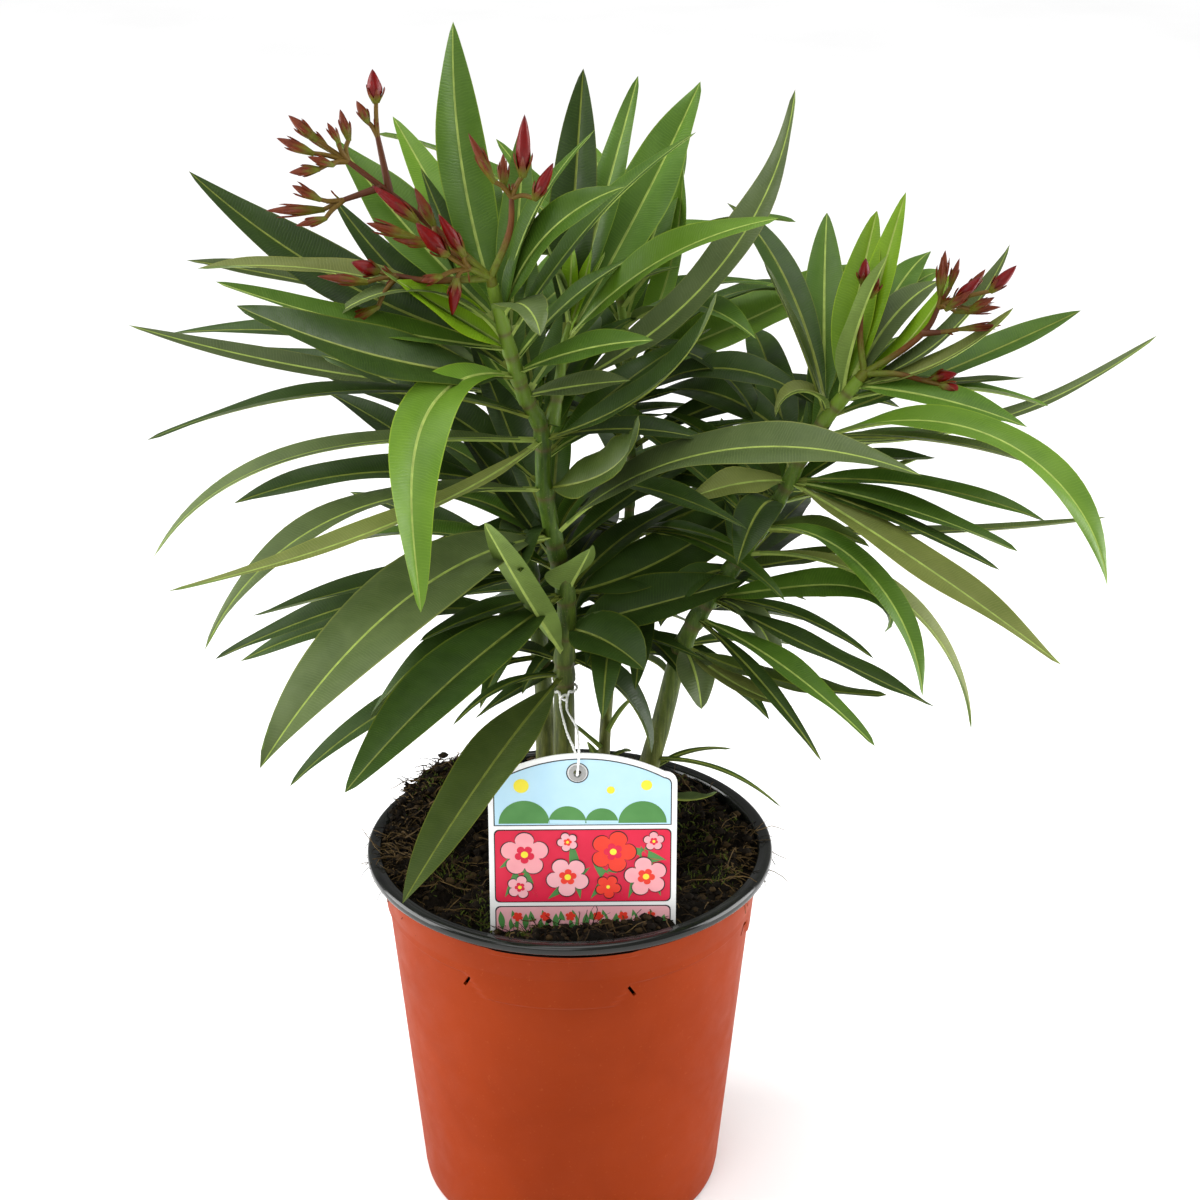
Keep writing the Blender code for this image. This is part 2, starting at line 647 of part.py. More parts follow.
def touches(tree, others):
    return any(tree.overlap(other) for other in others)


def mass_of(stem, z, stretches):
    return next(name for name, owner, low, high in stretches if owner == stem and low < z < high)


def place_leaves(stretches, limbs):
    """Every leaf by mass, each nudged or left out where it would touch a limb or another leaf.

    limbs holds a tree for each stretch of stem and each head of buds. A blade is tested whole
    against other masses, and past its root against its own.
    """
    draw = random.Random(SEED)
    placed = {name: [] for name, _, _, _ in stretches}
    whole = {name: [] for name in placed}
    outer = {name: [] for name in placed}
    skipped = 0
    for stem, rows in WHORLS.items():
        for row in rows:
            base = stem_point(stem, row[0])
            mass = mass_of(stem, row[0], stretches)
            strangers = [tree for name, tree in limbs.items() if name != mass]
            for name, trees in whole.items():
                strangers += trees if name != mass else []
            for leaf in rule_leaves(stem, row, draw):
                for turn, lift in NUDGES:
                    trial = (leaf[0] + turn, leaf[1] + lift, *leaf[2:])
                    body = tree_of(*blade(base, trial))
                    end = tree_of(*blade(base, trial, CLEAR_FROM))
                    if not touches(body, strangers) and not touches(end, outer[mass] + [limbs[mass]]):
                        break
                else:
                    skipped += 1
                    continue
                whole[mass].append(body)
                outer[mass].append(end)
                placed[mass].append((base, trial))
    print("leaves placed", sum(map(len, placed.values())), "left out", skipped)
    return placed


def join(name, trunk, pieces):
    """One solid from a stretch of stem and the leaves or buds sunk into it."""
    group = bpy.data.collections.new(name + "_pieces")
    bpy.context.scene.collection.children.link(group)
    for piece in pieces:
        for old in piece.users_collection:
            old.objects.unlink(piece)
        group.objects.link(piece)
    union = trunk.modifiers.new("Union", "BOOLEAN")
    union.operation = "UNION"
    union.operand_type = "COLLECTION"
    union.collection = group
    union.solver = "EXACT"
    solid = make_real(trunk)
    for piece in pieces:
        bpy.data.objects.remove(piece, do_unlink=True)
    bpy.data.collections.remove(group)
    solid.name = name
    drop_slivers(solid.data)
    return solid


def drop_slivers(mesh):
    """Keeps the one large body and drops what the union shut in between two blades."""
    work = bmesh.new()
    work.from_mesh(mesh)
    left = set(work.verts)
    bodies = []
    while left:
        body, open_ends = [], [left.pop()]
        while open_ends:
            vertex = open_ends.pop()
            body.append(vertex)
            near = {edge.other_vert(vertex) for edge in vertex.link_edges} & left
            left -= near
            open_ends += near
        bodies.append(body)
    slivers = sorted(bodies, key=len)[:-1]
    bmesh.ops.delete(work, geom=[vertex for body in slivers for vertex in body], context="VERTS")
    work.to_mesh(mesh)
    work.free()


# ---------------------------------------------------------------- buds

def bud_mesh(foot, end, thick, name, collection):
    """A spindle-shaped bud whose lower end is sunk in its stalk."""
    work = bmesh.new()
    bmesh.ops.create_uvsphere(work, u_segments=BUD_SIDES, v_segments=4, radius=0.5)
    along = (end - foot).normalized()
    length = (end - foot).length + BUD_SUNK
    turn = along.to_track_quat("Z", "Y").to_matrix().to_4x4()
    size = Matrix.Diagonal((thick * MM, thick * MM, length * MM, 1))
    middle = Matrix.Translation((end - along * length / 2) * MM)
    work.transform(middle @ turn @ size)
    mesh = bpy.data.meshes.new(name)
    bmesh.ops.triangulate(work, faces=work.faces)
    work.to_mesh(mesh)
    work.free()
    obj = bpy.data.objects.new(name, mesh)
    collection.objects.link(obj)
    mesh.materials.append(material("bud"))
    return obj


def stalk(start, end, radius, name, collection):
    """A straight tapering stalk."""
    start, end = Vector(start) * MM, Vector(end) * MM
    along = end - start
    bpy.ops.mesh.primitive_cone_add(
        vertices=STALK_SIDES, radius1=radius * MM, radius2=radius * 0.8 * MM, depth=along.length,
        location=(start + end) / 2, rotation=along.to_track_quat("Z", "Y").to_euler())
    obj = bpy.context.object
    obj.name = name
    for old in obj.users_collection:
        old.objects.unlink(obj)
    collection.objects.link(obj)
    obj.data.materials.append(material("bud"))
    return obj


def build_bud_head(side, collection):
    """A root that stands on the stem's tip, and stalks of buds that spread from its end."""
    tip = Vector(stem_point(side, STEMS[side][0][-1][2]))
    before = Vector(stem_point(side, tip.z - 3))
    along = (tip - before).normalized()
    start = tip + along * (1.3 * GAP / MM)
    pieces = []
    root = stalk(start, start + along * 4, stem_radius(side, tip.z), "root", collection)
    base = start + along * 2.5
    for line, buds in BUD_HEADS[side]:
        places = [base + Vector(point) for point in line]
        for near, far in zip(places, places[1:]):
            beyond = far + (far - near).normalized() * BUD_STALK_RADIUS / 2
            pieces.append(stalk(near, beyond, BUD_STALK_RADIUS, "stalk", collection))
        for foot, end, thick in buds:
            foot, end = base + Vector(foot), base + Vector(end)
            inside = foot + (end - foot).normalized() * BUD_SUNK
            pieces.append(stalk(places[-1], inside, BUD_NECK_RADIUS, "neck", collection))
            pieces.append(bud_mesh(foot, end, thick, "bud", collection))
    return join("buds_" + side, root, pieces)


# ---------------------------------------------------------------- label

def label_frame():
    """Turns the label's own XY outline upright, facing the front, and stands it on the soil."""
    foot = Vector((LABEL_FOOT[0], LABEL_FOOT[1], SOIL_LEVEL + LABEL_RISE))
    return Matrix.Translation(foot) @ Matrix.Rotation(math.radians(90 - LABEL_LEAN), 4, "X")


def arc(centre, radius, start, end, steps):
    return [
        (centre[0] + radius * math.cos(math.radians(a)), centre[1] + radius * math.sin(math.radians(a)))
        for a in np.linspace(start, end, steps)
    ]


def label_outline():
    half = LABEL_WIDTH / 2
    rise = LABEL_ARCH
    radius = (half * half + rise * rise) / (2 * rise)
    crown = LABEL_SIDE + rise - radius
    span = math.degrees(math.asin((half - LABEL_CORNER) / radius))
    shoulder = LABEL_SIDE - LABEL_CORNER
    top = arc((0, crown), radius, 90 - span, 90 + span, 9)
    right = [(half - 2 * MM, 0), (half, shoulder), (half - 1.2 * MM, shoulder + 3 * MM)]
    left = [(-x, y) for x, y in reversed(right)]
    return right + top + left


def build_label(collection):
    curve = bpy.data.curves.new("label", "CURVE")
    curve.dimensions = "2D"
    curve.fill_mode = "BOTH"
    curve.extrude = LABEL_THICK / 2
    for outline in (label_outline(), arc(EYELET_PLACE, EYELET_BARREL + 2 * GAP, 0, 337.5, 16)):
        spline = curve.splines.new("POLY")
        spline.points.add(len(outline) - 1)
        spline.use_cyclic_u = True
        for point, (x, y) in zip(spline.points, outline):
            point.co = (x, y, 0, 1)
    obj = bpy.data.objects.new("label", curve)
    obj.matrix_world = label_frame()
    collection.objects.link(obj)
    curve.materials.append(material("label"))
    make_real(obj)


def build_eyelet(collection):
    """A spool whose two flanges hold the label between them."""
    inner = LABEL_THICK / 2 + GAP
    outer = inner + EYELET_LIP
    profile = [
        (EYELET_HOLE, outer), (EYELET_FLANGE, outer), (EYELET_FLANGE, inner), (EYELET_BARREL, inner),
        (EYELET_BARREL, -inner), (EYELET_FLANGE, -inner), (EYELET_FLANGE, -outer), (EYELET_HOLE, -outer),
    ]
    ring = turned("eyelet", profile, 16, "eyelet", collection, closed=True)
    ring.matrix_world = label_frame() @ Matrix.Translation((*EYELET_PLACE, 0))
    shade_round(ring)


def tie_route():
    """The elastic's loop: through the eyelet, up its front, round the stem and down its back."""
    eye = label_frame() @ Vector((*EYELET_PLACE, 0))
    knot = Vector(stem_point("left", TIE_KNOT_HEIGHT / MM)) * MM
    reach = stem_radius("left", TIE_KNOT_HEIGHT / MM) * MM + TIE_RADIUS + 2 * GAP
    front = eye + Vector((0, -3.2 * MM, 1 * MM))
    back = eye + Vector((0, 3.2 * MM, 1 * MM))
    turns = np.radians(np.arange(20, 341, 40))
    loop = [knot + reach * Vector((math.sin(a), -math.cos(a), 0)) for a in turns]
    down = knot + Vector((-1.2 * MM, -reach - 2.5 * MM, -6 * MM))
    up = knot + Vector((1.2 * MM, -reach - 2.5 * MM, -6 * MM))
    middle = (eye + knot) / 2
    over = eye + Vector((0.6 * MM, -1.8 * MM, 10.2 * MM))
    rising = [front, over, middle + Vector((2.4 * MM, -3 * MM, 2 * MM)), up]
    behind = eye + Vector((-0.9 * MM, 2 * MM, 8 * MM))
    falling = [down, middle + Vector((-1.4 * MM, -3 * MM, 0)), behind, back]
    return [eye] + rising + loop + falling


def build_tie(collection):
    curve = bpy.data.curves.new("label_tie", "CURVE")
    curve.dimensions = "3D"
    curve.bevel_depth = TIE_RADIUS
    curve.bevel_resolution = 1
    spline = curve.splines.new("POLY")
    route = tie_route()
    spline.points.add(len(route) - 1)
    spline.use_cyclic_u = True
    for point, place in zip(spline.points, route):
        point.co = (*place, 1)
    obj = bpy.data.objects.new("label_tie", curve)
    collection.objects.link(obj)
    curve.materials.append(material("tie"))
    make_real(obj)


# ---------------------------------------------------------------- whole plant

def tree_of_object(obj):
    place = obj.matrix_world
    points = [place @ v.co for v in obj.data.vertices]
    return tree_of(points, [tuple(p.vertices) for p in obj.data.polygons])


def build_plant(collection):
    """Bare stems and heads of buds first, then leaves placed clear of them, then the masses."""
    stretches = []
    for stem, cuts in CUTS.items():
        foot = STEMS[stem][0][0][2]
        tip = STEMS[stem][0][-1][2]
        edges = [foot, *cuts, tip]
        words = ["stem", "low", "mid", "top"] if len(cuts) == 3 else ["stem", "low", "top"]
        for word, low, high in zip(words, edges, edges[1:]):
            name = "stem_" + stem if word == "stem" else f"leaves_{stem}_{word}"
            start = low if word == "stem" else low + GAP / MM
            stretches.append((name, stem, start, high))
    solids = {name: stem_piece(name, stem, low, high, collection) for name, stem, low, high in stretches}
    limbs = {name: tree_of_object(obj) for name, obj in solids.items()}
    for side in BUD_HEADS:
        limbs["buds_" + side] = tree_of_object(build_bud_head(side, collection))
    for name, leaves in place_leaves(stretches, limbs).items():
        for base, leaf in leaves:
            piece = mesh_object("leaf", *blade(base, leaf), "leaf", collection)
            solids[name] = join(name, solids[name], [piece])


def main():
    clear_scene()
    parts = new_collection("potted_oleander")
    cutters = new_collection("cutters", hidden=True)
    build_pot(parts, cutters)
    build_rim(parts)
    build_soil(parts)
    build_plant(parts)
    build_label(parts)
    build_eyelet(parts)
    build_tie(parts)


main()
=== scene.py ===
"""The looks of the potted oleander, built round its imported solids: barked stems, veined leaves in
whorls, heads of red buds, a glossy-rimmed pot of peat and a printed label on an elastic.

The frame is in metres. Tables of the plant are in millimetres and degrees, as in the part's source:
a heading of 0 points along +X, 90 to the back, 180 along -X and 270 to the front.
"""

import math
import random
from itertools import cycle

import bpy
import numpy as np
from mathutils import Matrix, Vector, noise
from mathutils.bvhtree import BVHTree
from mathutils.kdtree import KDTree


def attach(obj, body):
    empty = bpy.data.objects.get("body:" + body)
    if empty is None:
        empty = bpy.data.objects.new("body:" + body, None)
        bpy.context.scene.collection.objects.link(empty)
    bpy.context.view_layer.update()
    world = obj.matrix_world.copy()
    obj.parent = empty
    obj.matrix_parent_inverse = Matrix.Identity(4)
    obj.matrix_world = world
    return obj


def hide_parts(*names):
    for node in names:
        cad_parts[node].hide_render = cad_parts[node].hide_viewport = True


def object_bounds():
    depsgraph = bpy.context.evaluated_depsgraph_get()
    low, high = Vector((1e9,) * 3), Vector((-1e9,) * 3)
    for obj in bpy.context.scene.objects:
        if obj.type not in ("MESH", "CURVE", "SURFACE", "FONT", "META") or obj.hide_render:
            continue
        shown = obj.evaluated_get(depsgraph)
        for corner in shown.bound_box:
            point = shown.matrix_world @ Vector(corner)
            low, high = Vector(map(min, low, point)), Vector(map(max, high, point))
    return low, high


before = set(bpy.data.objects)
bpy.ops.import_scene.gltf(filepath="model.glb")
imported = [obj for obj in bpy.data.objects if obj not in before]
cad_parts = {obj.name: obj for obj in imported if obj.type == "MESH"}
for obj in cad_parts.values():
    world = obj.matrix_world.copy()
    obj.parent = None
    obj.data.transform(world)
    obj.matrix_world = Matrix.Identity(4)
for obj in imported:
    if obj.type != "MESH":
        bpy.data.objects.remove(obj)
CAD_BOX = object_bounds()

MM = 0.001
BODY = "root"

# ---------------------------------------------------------------- the plant's own sizes

# The pot: overall sizes, the wall, the slits below the shoulder and the drain holes in the floor.
POT_HEIGHT = 160
RIM_RADIUS = 85
RIM_HEIGHT = 6.5
COLLAR_RADIUS = 80.3
SHOULDER_RADIUS = 77
SHOULDER_HEIGHT = 140
BASE_RADIUS = 64.2
WALL = 1.6
FLOOR = 2.2
SLITS = 7
SLIT_FIRST = -123
SLIT_HEIGHT = 132
SLIT_SLANT = 32
DRAIN_HOLES = 8
DRAIN_RADIUS = 5
DRAIN_CIRCLE = 48

# The peat: its plain level and the mound at the back left.
SOIL_LEVEL = 150
SOIL_MOUND = 15
MOUND_PLACE = (-50, 42)
MOUND_SPREAD = 26

# Each stem: its centre line, foot first, and its radius at the foot and at the tip.
STEMS = {
    "left": (
        [(-2, -5, 152), (-2, -10, 216), (-2, -13, 246), (-1, -18, 278), (-6, -22, 308),
         (-9, -25, 329), (-10, -28, 353), (-16, -32, 368), (-21, -36, 386), (-25, -40, 404),
         (-27, -42, 414)],
        4.3, 2.0),
    "young": ([(-6, -25, 354), (-4, -21, 364), (-1, -16, 382), (3, -10, 396)], 2.3, 1.2),
    "back": (
        [(-11, 10, 152), (-10, 15, 204), (-12, 20, 240), (-18, 27, 290), (-26, 34, 340),
         (-34, 40, 376)],
        3.4, 2.0),
    "middle": (
        [(14, 20, 152), (15, 25, 194), (18, 31, 230), (24, 36, 270), (26, 40, 320),
         (24, 44, 360), (20, 47, 392)],
        2.4, 1.5),
    "right": (
        [(22, 0, 152), (37, 0, 211), (47, 0, 252), (66, 0, 285), (77, 0, 302), (87, 0, 320),
         (95, 0, 338), (104, -1, 352), (113, -2, 364)],
        4.3, 2.2),
}
GROUNDED = ("left", "back", "middle", "right")

# Heights at which each stem passes from bare wood into its masses of leaves.
CUTS = {
    "left": (237, 296, 344),
    "young": (361,),
    "back": (228, 305),
    "middle": (224, 312),
    "right": (244, 294, 330),
}

# Each whorl: its height on the stem, how many leaves it carries, and those that are listed as
# (heading, rise at the base, droop to the tip, length, width, roll, kind), then where they curve more
# the sweep, which turns the blade sideways along its length, and the bow, which over 1 keeps the
# droop for the tip.
WHORLS = {
    "left": [
        (243, 2, [(247, -2, 15, 150, 25, 0, "olive"), (212, 20, 60, 55, 6, 0, "dark")]),
        (252, 3, [(249, 46, -4, 118, 16, 0, "grey_sheen"), (352, -15, 70, 58, 22, 0, "dark")]),
        (265, 3, [(318, 12, 40, 42, 27, -20, "dark"), (5, 14, 0, 72, 28, -20, "dark")]),
        (281, 4, [(242, 0, 8, 162, 27, 10, "dark", 10, 1), (36, -5, -35, 108, 27, -20, "dark"),
                  (315, 60, 0, 27, 27, 0, "grey_sheen"), (222, 12, 20, 74, 14, 0, "dark")]),
        (292, 1, [(155, 52, 6, 112, 24, 0, "dark")]),
        (300, 1, [(140, 62, 0, 104, 22, 0, "dark")]),
        (307, 4, [(237, 16, 46, 186, 33, 10, "grey_sheen", 6, 1), (335, 50, 64, 162, 24, -20, "grey_sheen"),
                  (206, -4, 0, 124, 16, 0, "dark"), (204, 18, 90, 128, 18, 0, "dark")]),
        (328, 4, [(221, 14, 44, 168, 18, 0, "grey_sheen", 10, 2.2), (328, 18, -50, 60, 26, -30, "olive", 0, 2),
                  (150, 35, 30, 110, 20, 10, "dark")]),
        (349, 4, [(201, 9, 38, 162, 15, 0, "grey_sheen", 0, 2.5), (218, -4, 4, 170, 13, 0, "straw", -52, 1),
                  (338, 24, -40, 98, 18, -20, "dark", 0, 1.6), (352, 18, 34, 68, 15, -10, "dark")]),
        (358, 2, [(209, 28, 42, 158, 15, 0, "dark")]),
        (368, 2, [(345, 18, 10, 42, 14, -20, "grey_sheen")]),
        (376, 2, [(257, 24, 106, 134, 21, 20, "bright", 76, 1), (216, 14, -18, 126, 26, 35, "dark")]),
        (378, 3, [(333, 30, 20, 60, 16, -25, "mid"), (146, 20, -26, 100, 17, 20, "dark"),
                  (140, 52, -10, 84, 13, 10, "dark")]),
        (388, 6, [(168, 12, -30, 136, 24, 30, "dark"), (200, 36, 0, 52, 19, 40, "young"),
                  (200, 12, -14, 114, 17, 20, "mid"), (196, 66, 106, 80, 15, 0, "grey_sheen"),
                  (196, 34, -4, 58, 9, 0, "young"), (70, 76, 0, 84, 15, 0, "mid")]),
        (398, 7, [(125, 54, -42, 112, 21, 10, "mid"), (142, 29, -14, 99, 25, 20, "mid"),
                  (350, 80, 62, 74, 19, -35, "mid"), (124, 44, 8, 98, 17, 10, "bright"),
                  (180, 28, 34, 114, 14, 10, "straw"), (20, 84, 44, 80, 13, 0, "mid"),
                  (308, 84, 164, 33, 18, 0, "grey_sheen")]),
    ],
    "young": [
        (366, 2, [(12, 24, -54, 150, 20, -20, "grey_sheen", 0, 1.3)]),
        (384, 4, [(46, 44, -10, 115, 26, -15, "mid"), (332, 52, 36, 105, 22, -30, "bright"),
                  (78, 72, 4, 102, 19, 0, "dark"), (55, 62, 0, 104, 15, 0, "mid")]),
        (394, 3, [(30, 72, 0, 27, 6, 0, "young"), (10, 62, 0, 26, 5, 0, "young"),
                  (200, 70, 0, 30, 7, 0, "young")]),
    ],
    "back": [
        (236, 3, [(205, 5, 45, 120, 17, 10, "dark")]),
        (254, 3, [(190, 15, 40, 125, 18, 15, "dark")]),
        (272, 3, [(200, 5, 25, 135, 17, 15, "dark")]),
        (288, 3, [(150, 35, 20, 110, 19, 15, "dark"), (270, 32, 36, 100, 19, 0, "dark")]),
        (306.5, 4, [(200, 25, 40, 120, 18, 15, "dark"), (320, 26, 40, 118, 19, 0, "dark")]),
        (320, 4, [(160, 30, 30, 130, 19, 20, "dark")]),
        (334, 4, [(145, 45, 25, 105, 19, 15, "dark")]),
        (347, 3, [(180, 4, -14, 150, 13, 20, "grey_sheen")]),
        (359, 3, [(170, 12, 20, 135, 16, 15, "dark"), (35, 44, 50, 125, 19, 0, "mid")]),
        (370, 3, [(178, 20, 12, 122, 15, 15, "olive"), (110, 60, 15, 92, 16, 0, "dark")]),
    ],
    "middle": [
        (230, 3, [(10, 10, 60, 70, 14, -10, "dark")]),
        (246, 3, []),
        (262, 3, [(60, 20, 50, 110, 18, 0, "dark")]),
        (280, 3, [(20, 25, 50, 120, 19, -15, "dark")]),
        (298, 3, [(340, 35, 50, 90, 18, -20, "olive")]),
        (320, 3, [(10, 35, 60, 120, 19, -20, "dark")]),
        (338, 4, [(45, 40, 50, 115, 19, -10, "dark"), (330, 50, 80, 90, 18, -20, "dark")]),
        (354, 3, [(15, 14, -12, 106, 24, -25, "bright"), (50, 38, -56, 88, 14, 0, "bright")]),
        (362, 1, [(335, 20, 100, 80, 17, 0, "dark")]),
        (370, 3, [(60, 55, 10, 84, 17, 0, "mid"), (150, 56, 12, 92, 17, 10, "mid"),
                  (300, 40, 55, 100, 18, -10, "mid")]),
        (384, 3, [(50, 64, 10, 80, 15, 0, "mid"), (235, 45, 45, 85, 15, 0, "mid")]),
    ],
    "right": [
        (250, 4, [(324, -10, -25, 95, 15, 0, "olive"), (290, -10, 70, 30, 16, 0, "grey_sheen"),
                  (35, -5, 20, 62, 12, 0, "dark"), (312, -20, -30, 62, 12, 0, "straw")]),
        (262, 3, [(304, 6, 24, 112, 14, 0, "mid"), (298, -4, 20, 96, 8, 0, "dark")]),
        (271, 4, [(318, -8, -2, 110, 14, 0, "dark"), (338, 7, 40, 72, 10, 0, "dark"),
                  (325, 10, 100, 46, 15, 0, "grey_sheen"), (345, 14, 52, 87, 17, -20, "mid", 0, 5)]),
        (283, 3, [(200, 10, 90, 40, 14, 20, "dark"), (8, 4, -6, 50, 12, -10, "olive")]),
        (290, 1, [(344, 14, 98, 132, 13, 0, "straw")]),
        (301, 4, [(14, -10, -12, 152, 10, 0, "olive"), (340, 20, 46, 46, 13, -10, "olive"),
                  (316, 23, 106, 110, 15, 0, "mid")]),
        (312, 3, [(150, 15, 40, 90, 19, 20, "dark"), (250, 30, 70, 60, 17, 10, "dark"),
                  (5, 12, -10, 62, 10, 0, "straw")]),
        # The straw kind of the leaf at heading 314 is painted sheen: its pale colour stands for the grey-white
        # shine on it.
        (321, 5, [(338, -2, 16, 94, 15, -10, "mid"), (314, -11, 8, 138, 20, -5, "straw"),
                  (204, 13, 26, 44, 16, 20, "straw"), (347, 10, 30, 102, 13, -10, "deep"),
                  (329, -6, 12, 92, 12, 0, "dark")]),
        (332, 3, [(350, 0, -4, 52, 13, 0, "dark"), (130, 30, 60, 95, 18, 20, "dark")]),
        (339, 3, [(16, -12, -46, 155, 11, 0, "grey_sheen"), (318, 26, 76, 160, 22, -5, "bright", 0, 1.8),
                  (350, 10, 34, 108, 9, 0, "olive")]),
        (348, 4, [(27, 9, -6, 124, 18, -10, "deep"), (113, 66, 62, 116, 14, 0, "dark"),
                  (185, 95, 190, 34, 13, 0, "straw"), (165, 72, 12, 66, 9, 0, "olive")]),
        (355, 3, [(325, 85, 22, 64, 16, 0, "young"), (65, 72, 20, 76, 17, 0, "young"),
                  (2, 16, 38, 84, 14, 0, "mid")]),
        (361, 7, [(336, 4, 20, 70, 18, -15, "mid"), (352, 8, -44, 70, 12, -10, "straw"),
                  (55, 66, 8, 78, 13, 0, "young"), (10, 12, -60, 84, 14, 0, "grey_sheen"),
                  (45, 58, 56, 64, 15, -10, "grey_sheen"), (24, 22, -46, 64, 11, 0, "young"),
                  (5, 0, -2, 68, 10, 0, "olive")]),
    ],
}

# The rule for a leaf that isn't listed, as in the part's source.
WHORL_STEP = 120
RULE_LENGTH = (112, 150)
RULE_SLENDER = 0.15
RULE_RISE = (8, 50)
RULE_DROOP = (25, 60)
SEED = 11
FRONT = (220, 335)
FRONT_BARE = {"left": 420, "young": 420, "right": 420, "back": 300, "middle": 300}
RULE_TURN = 12
RULE_LIFT = 8
RULE_CLEAR = 45
STALK_WIDTH = 3.0
COARSE_STEPS = 24
# How the solid of a ruled leaf may have been nudged to clear its neighbours: heading, then rise.
NUDGES = ((0, 0), (0, 5), (0, -5), (6, 0), (-6, 0), (0, 10), (0, -10), (10, 6), (-10, 6), (0, 16))

# Heads of buds, one on the tip of a stem. Each spray is a stalk, as points from the tip, and buds
# as (foot, end, thickness), each on a short stalk of its own from the spray's last point.
BUD_HEADS = {
    "left": [
        ([(0, 0, 0), (7, 0, 17), (8, 2, 30)],
         [((2, 0, 35), (-7, 0, 53), 4), ((5, 5, 31), (5, 7, 44), 4), ((12, 0, 37), (13, -2, 60), 6),
          ((16, -1, 29), (23, -3, 43), 5)]),
        ([(0, 0, 0), (-7, -1, 6), (-18, -1, 12)],
         [((-26, 0, 21), (-42, 2, 34), 5), ((-27, -3, 16), (-44, -5, 22), 4.6),
          ((-20, 4, 18), (-27, 6, 32), 4.6), ((-22, -2, 13), (-35, -4, 16), 3.8)]),
        ([(0, 0, 0), (-8, -4, 5)],
         [((-15, -6, 10), (-26, -9, 23), 7), ((-9, -6, 10), (-18, -8, 26), 5),
          ((-12, -6, 2), (-14, -7, -12), 5), ((-17, -7, 3), (-25, -8, 1), 4)]),
        ([(0, 0, 0), (-21, 8, 17), (-41, 6, 34), (-51, 6, 42)],
         [((-61, 6, 49), (-71, 7, 58), 4.6), ((-62, 3, 45), (-75, 2, 51), 4.2),
          ((-60, 1, 40), (-71, 0, 39), 4), ((-50, 9, 48), (-53, 12, 59), 4),
          ((-53, 5, 48), (-57, 4, 56), 3), ((-57, 8, 45), (-66, 10, 53), 3.6),
          ((-55, 2, 41), (-64, -1, 45), 3.4)]),
        ([(-39, 6, 32), (-53, 3, 28)],
         [((-60, 0, 29), (-70, -2, 35), 4), ((-59, 2, 25), (-80, 1, 25), 4.4),
          ((-58, -2, 23), (-69, -5, 21), 3.4)]),
        ([(-36, 7, 30), (-40, 11, 50)],
         [((-40, 12, 61), (-41, 13, 73), 6), ((-43, 11, 54), (-47, 12, 62), 4)]),
        ([(0, 0, 0), (-22, -3, 0), (-34, -3, 2)],
         [((-40, -2, 3), (-50, -3, 7), 6), ((-44, -5, 0), (-62, -7, 3), 4),
          ((-40, -8, -8), (-58, -12, -16), 4)]),
    ],
    "right": [
        ([(0, 0, 0), (14, -2, 10), (23, -3, 19), (27, -3, 28)],
         [((27, -3, 32), (28, -4, 50), 4.6), ((32, -4, 29), (42, -5, 40), 5), ((33, -1, 25), (51, -2, 27), 4),
          ((31, -1, 34), (34, -1, 46), 3), ((45, -9, 35), (54, -11, 46), 5),
          ((29, -6, 27), (38, -10, 36), 4), ((36, -3, 31), (44, -2, 42), 4),
          ((38, -6, 27), (47, -9, 33), 3.6)]),
        ([(21, -3, 17), (28, -5, 18)], [((34, -5, 19), (51, -6, 21), 3)]),
        ([(0, 0, 0), (12, -4, 1), (22, -6, -1)],
         [((25, -6, 0), (35, -7, 2), 5), ((28, -8, -2), (40, -10, -7), 6)]),
        ([(0, 0, 0), (-2, 2, 14), (-2, 2, 28)],
         [((-2, 2, 35), (-1, 3, 45), 5), ((1, 1, 30), (4, 0, 38), 4)]),
    ],
}

# ---------------------------------------------------------------- small sums

def within(value, low=0.0, high=1.0):
    return max(low, min(high, value))


def turn_between(first, second):
    """The angle between two headings, from 0 to 180."""
    return abs((first - second + 180) % 360 - 180)


def times(colour, factor):
    return tuple(factor * c for c in colour)


def around(turn, radius, z=0):
    """The point at a turn, in radians, round the pot's axis."""
    return radius * math.cos(turn), radius * math.sin(turn), z


# ---------------------------------------------------------------- node helpers

def new_material(name):
    """A material with its node tree and its one shader."""
    made = bpy.data.materials.new(name)
    made.use_nodes = True
    return made, made.node_tree, made.node_tree.nodes["Principled BSDF"]


def add(tree, kind, inputs=None, **settings):
    """One shader node. Inputs are set by value, or linked where a socket is given."""
    node = tree.nodes.new("ShaderNode" + kind)
    for key, value in settings.items():
        setattr(node, key, value)
    for key, value in (inputs or {}).items():
        if isinstance(value, bpy.types.NodeSocket):
            tree.links.new(value, node.inputs[key])
        else:
            node.inputs[key].default_value = value
    return node


def maths(tree, operation, *values):
    """A sum of numbers or sockets."""
    return add(tree, "Math", dict(enumerate(values)), operation=operation).outputs[0]


def mixed(tree, factor, first, second, blend="MIX"):
    """A colour between two. A colour is a tuple of three or a socket."""
    full = [(*c, 1) if isinstance(c, tuple) else c for c in (first, second)]
    node = add(tree, "Mix", {0: factor, 6: full[0], 7: full[1]}, data_type="RGBA", blend_type=blend)
    return node.outputs[2]


def attribute(tree, name):
    """A value that the mesh carries at each of its points."""
    return add(tree, "Attribute", attribute_name=name, attribute_type="GEOMETRY").outputs["Fac"]


def speckle(tree, scale, detail=3.0, roughness=0.55, distort=0.0, stretch=None):
    """Noise in the object's own coordinates, from about 0.25 to 0.75."""
    place = add(tree, "TexCoord").outputs["Object"]
    if stretch:
        place = add(tree, "Mapping", {"Vector": place, "Scale": stretch}).outputs[0]
    values = {"Vector": place, "Scale": scale, "Detail": detail, "Roughness": roughness,
              "Distortion": distort}
    return add(tree, "TexNoise", values).outputs["Fac"]


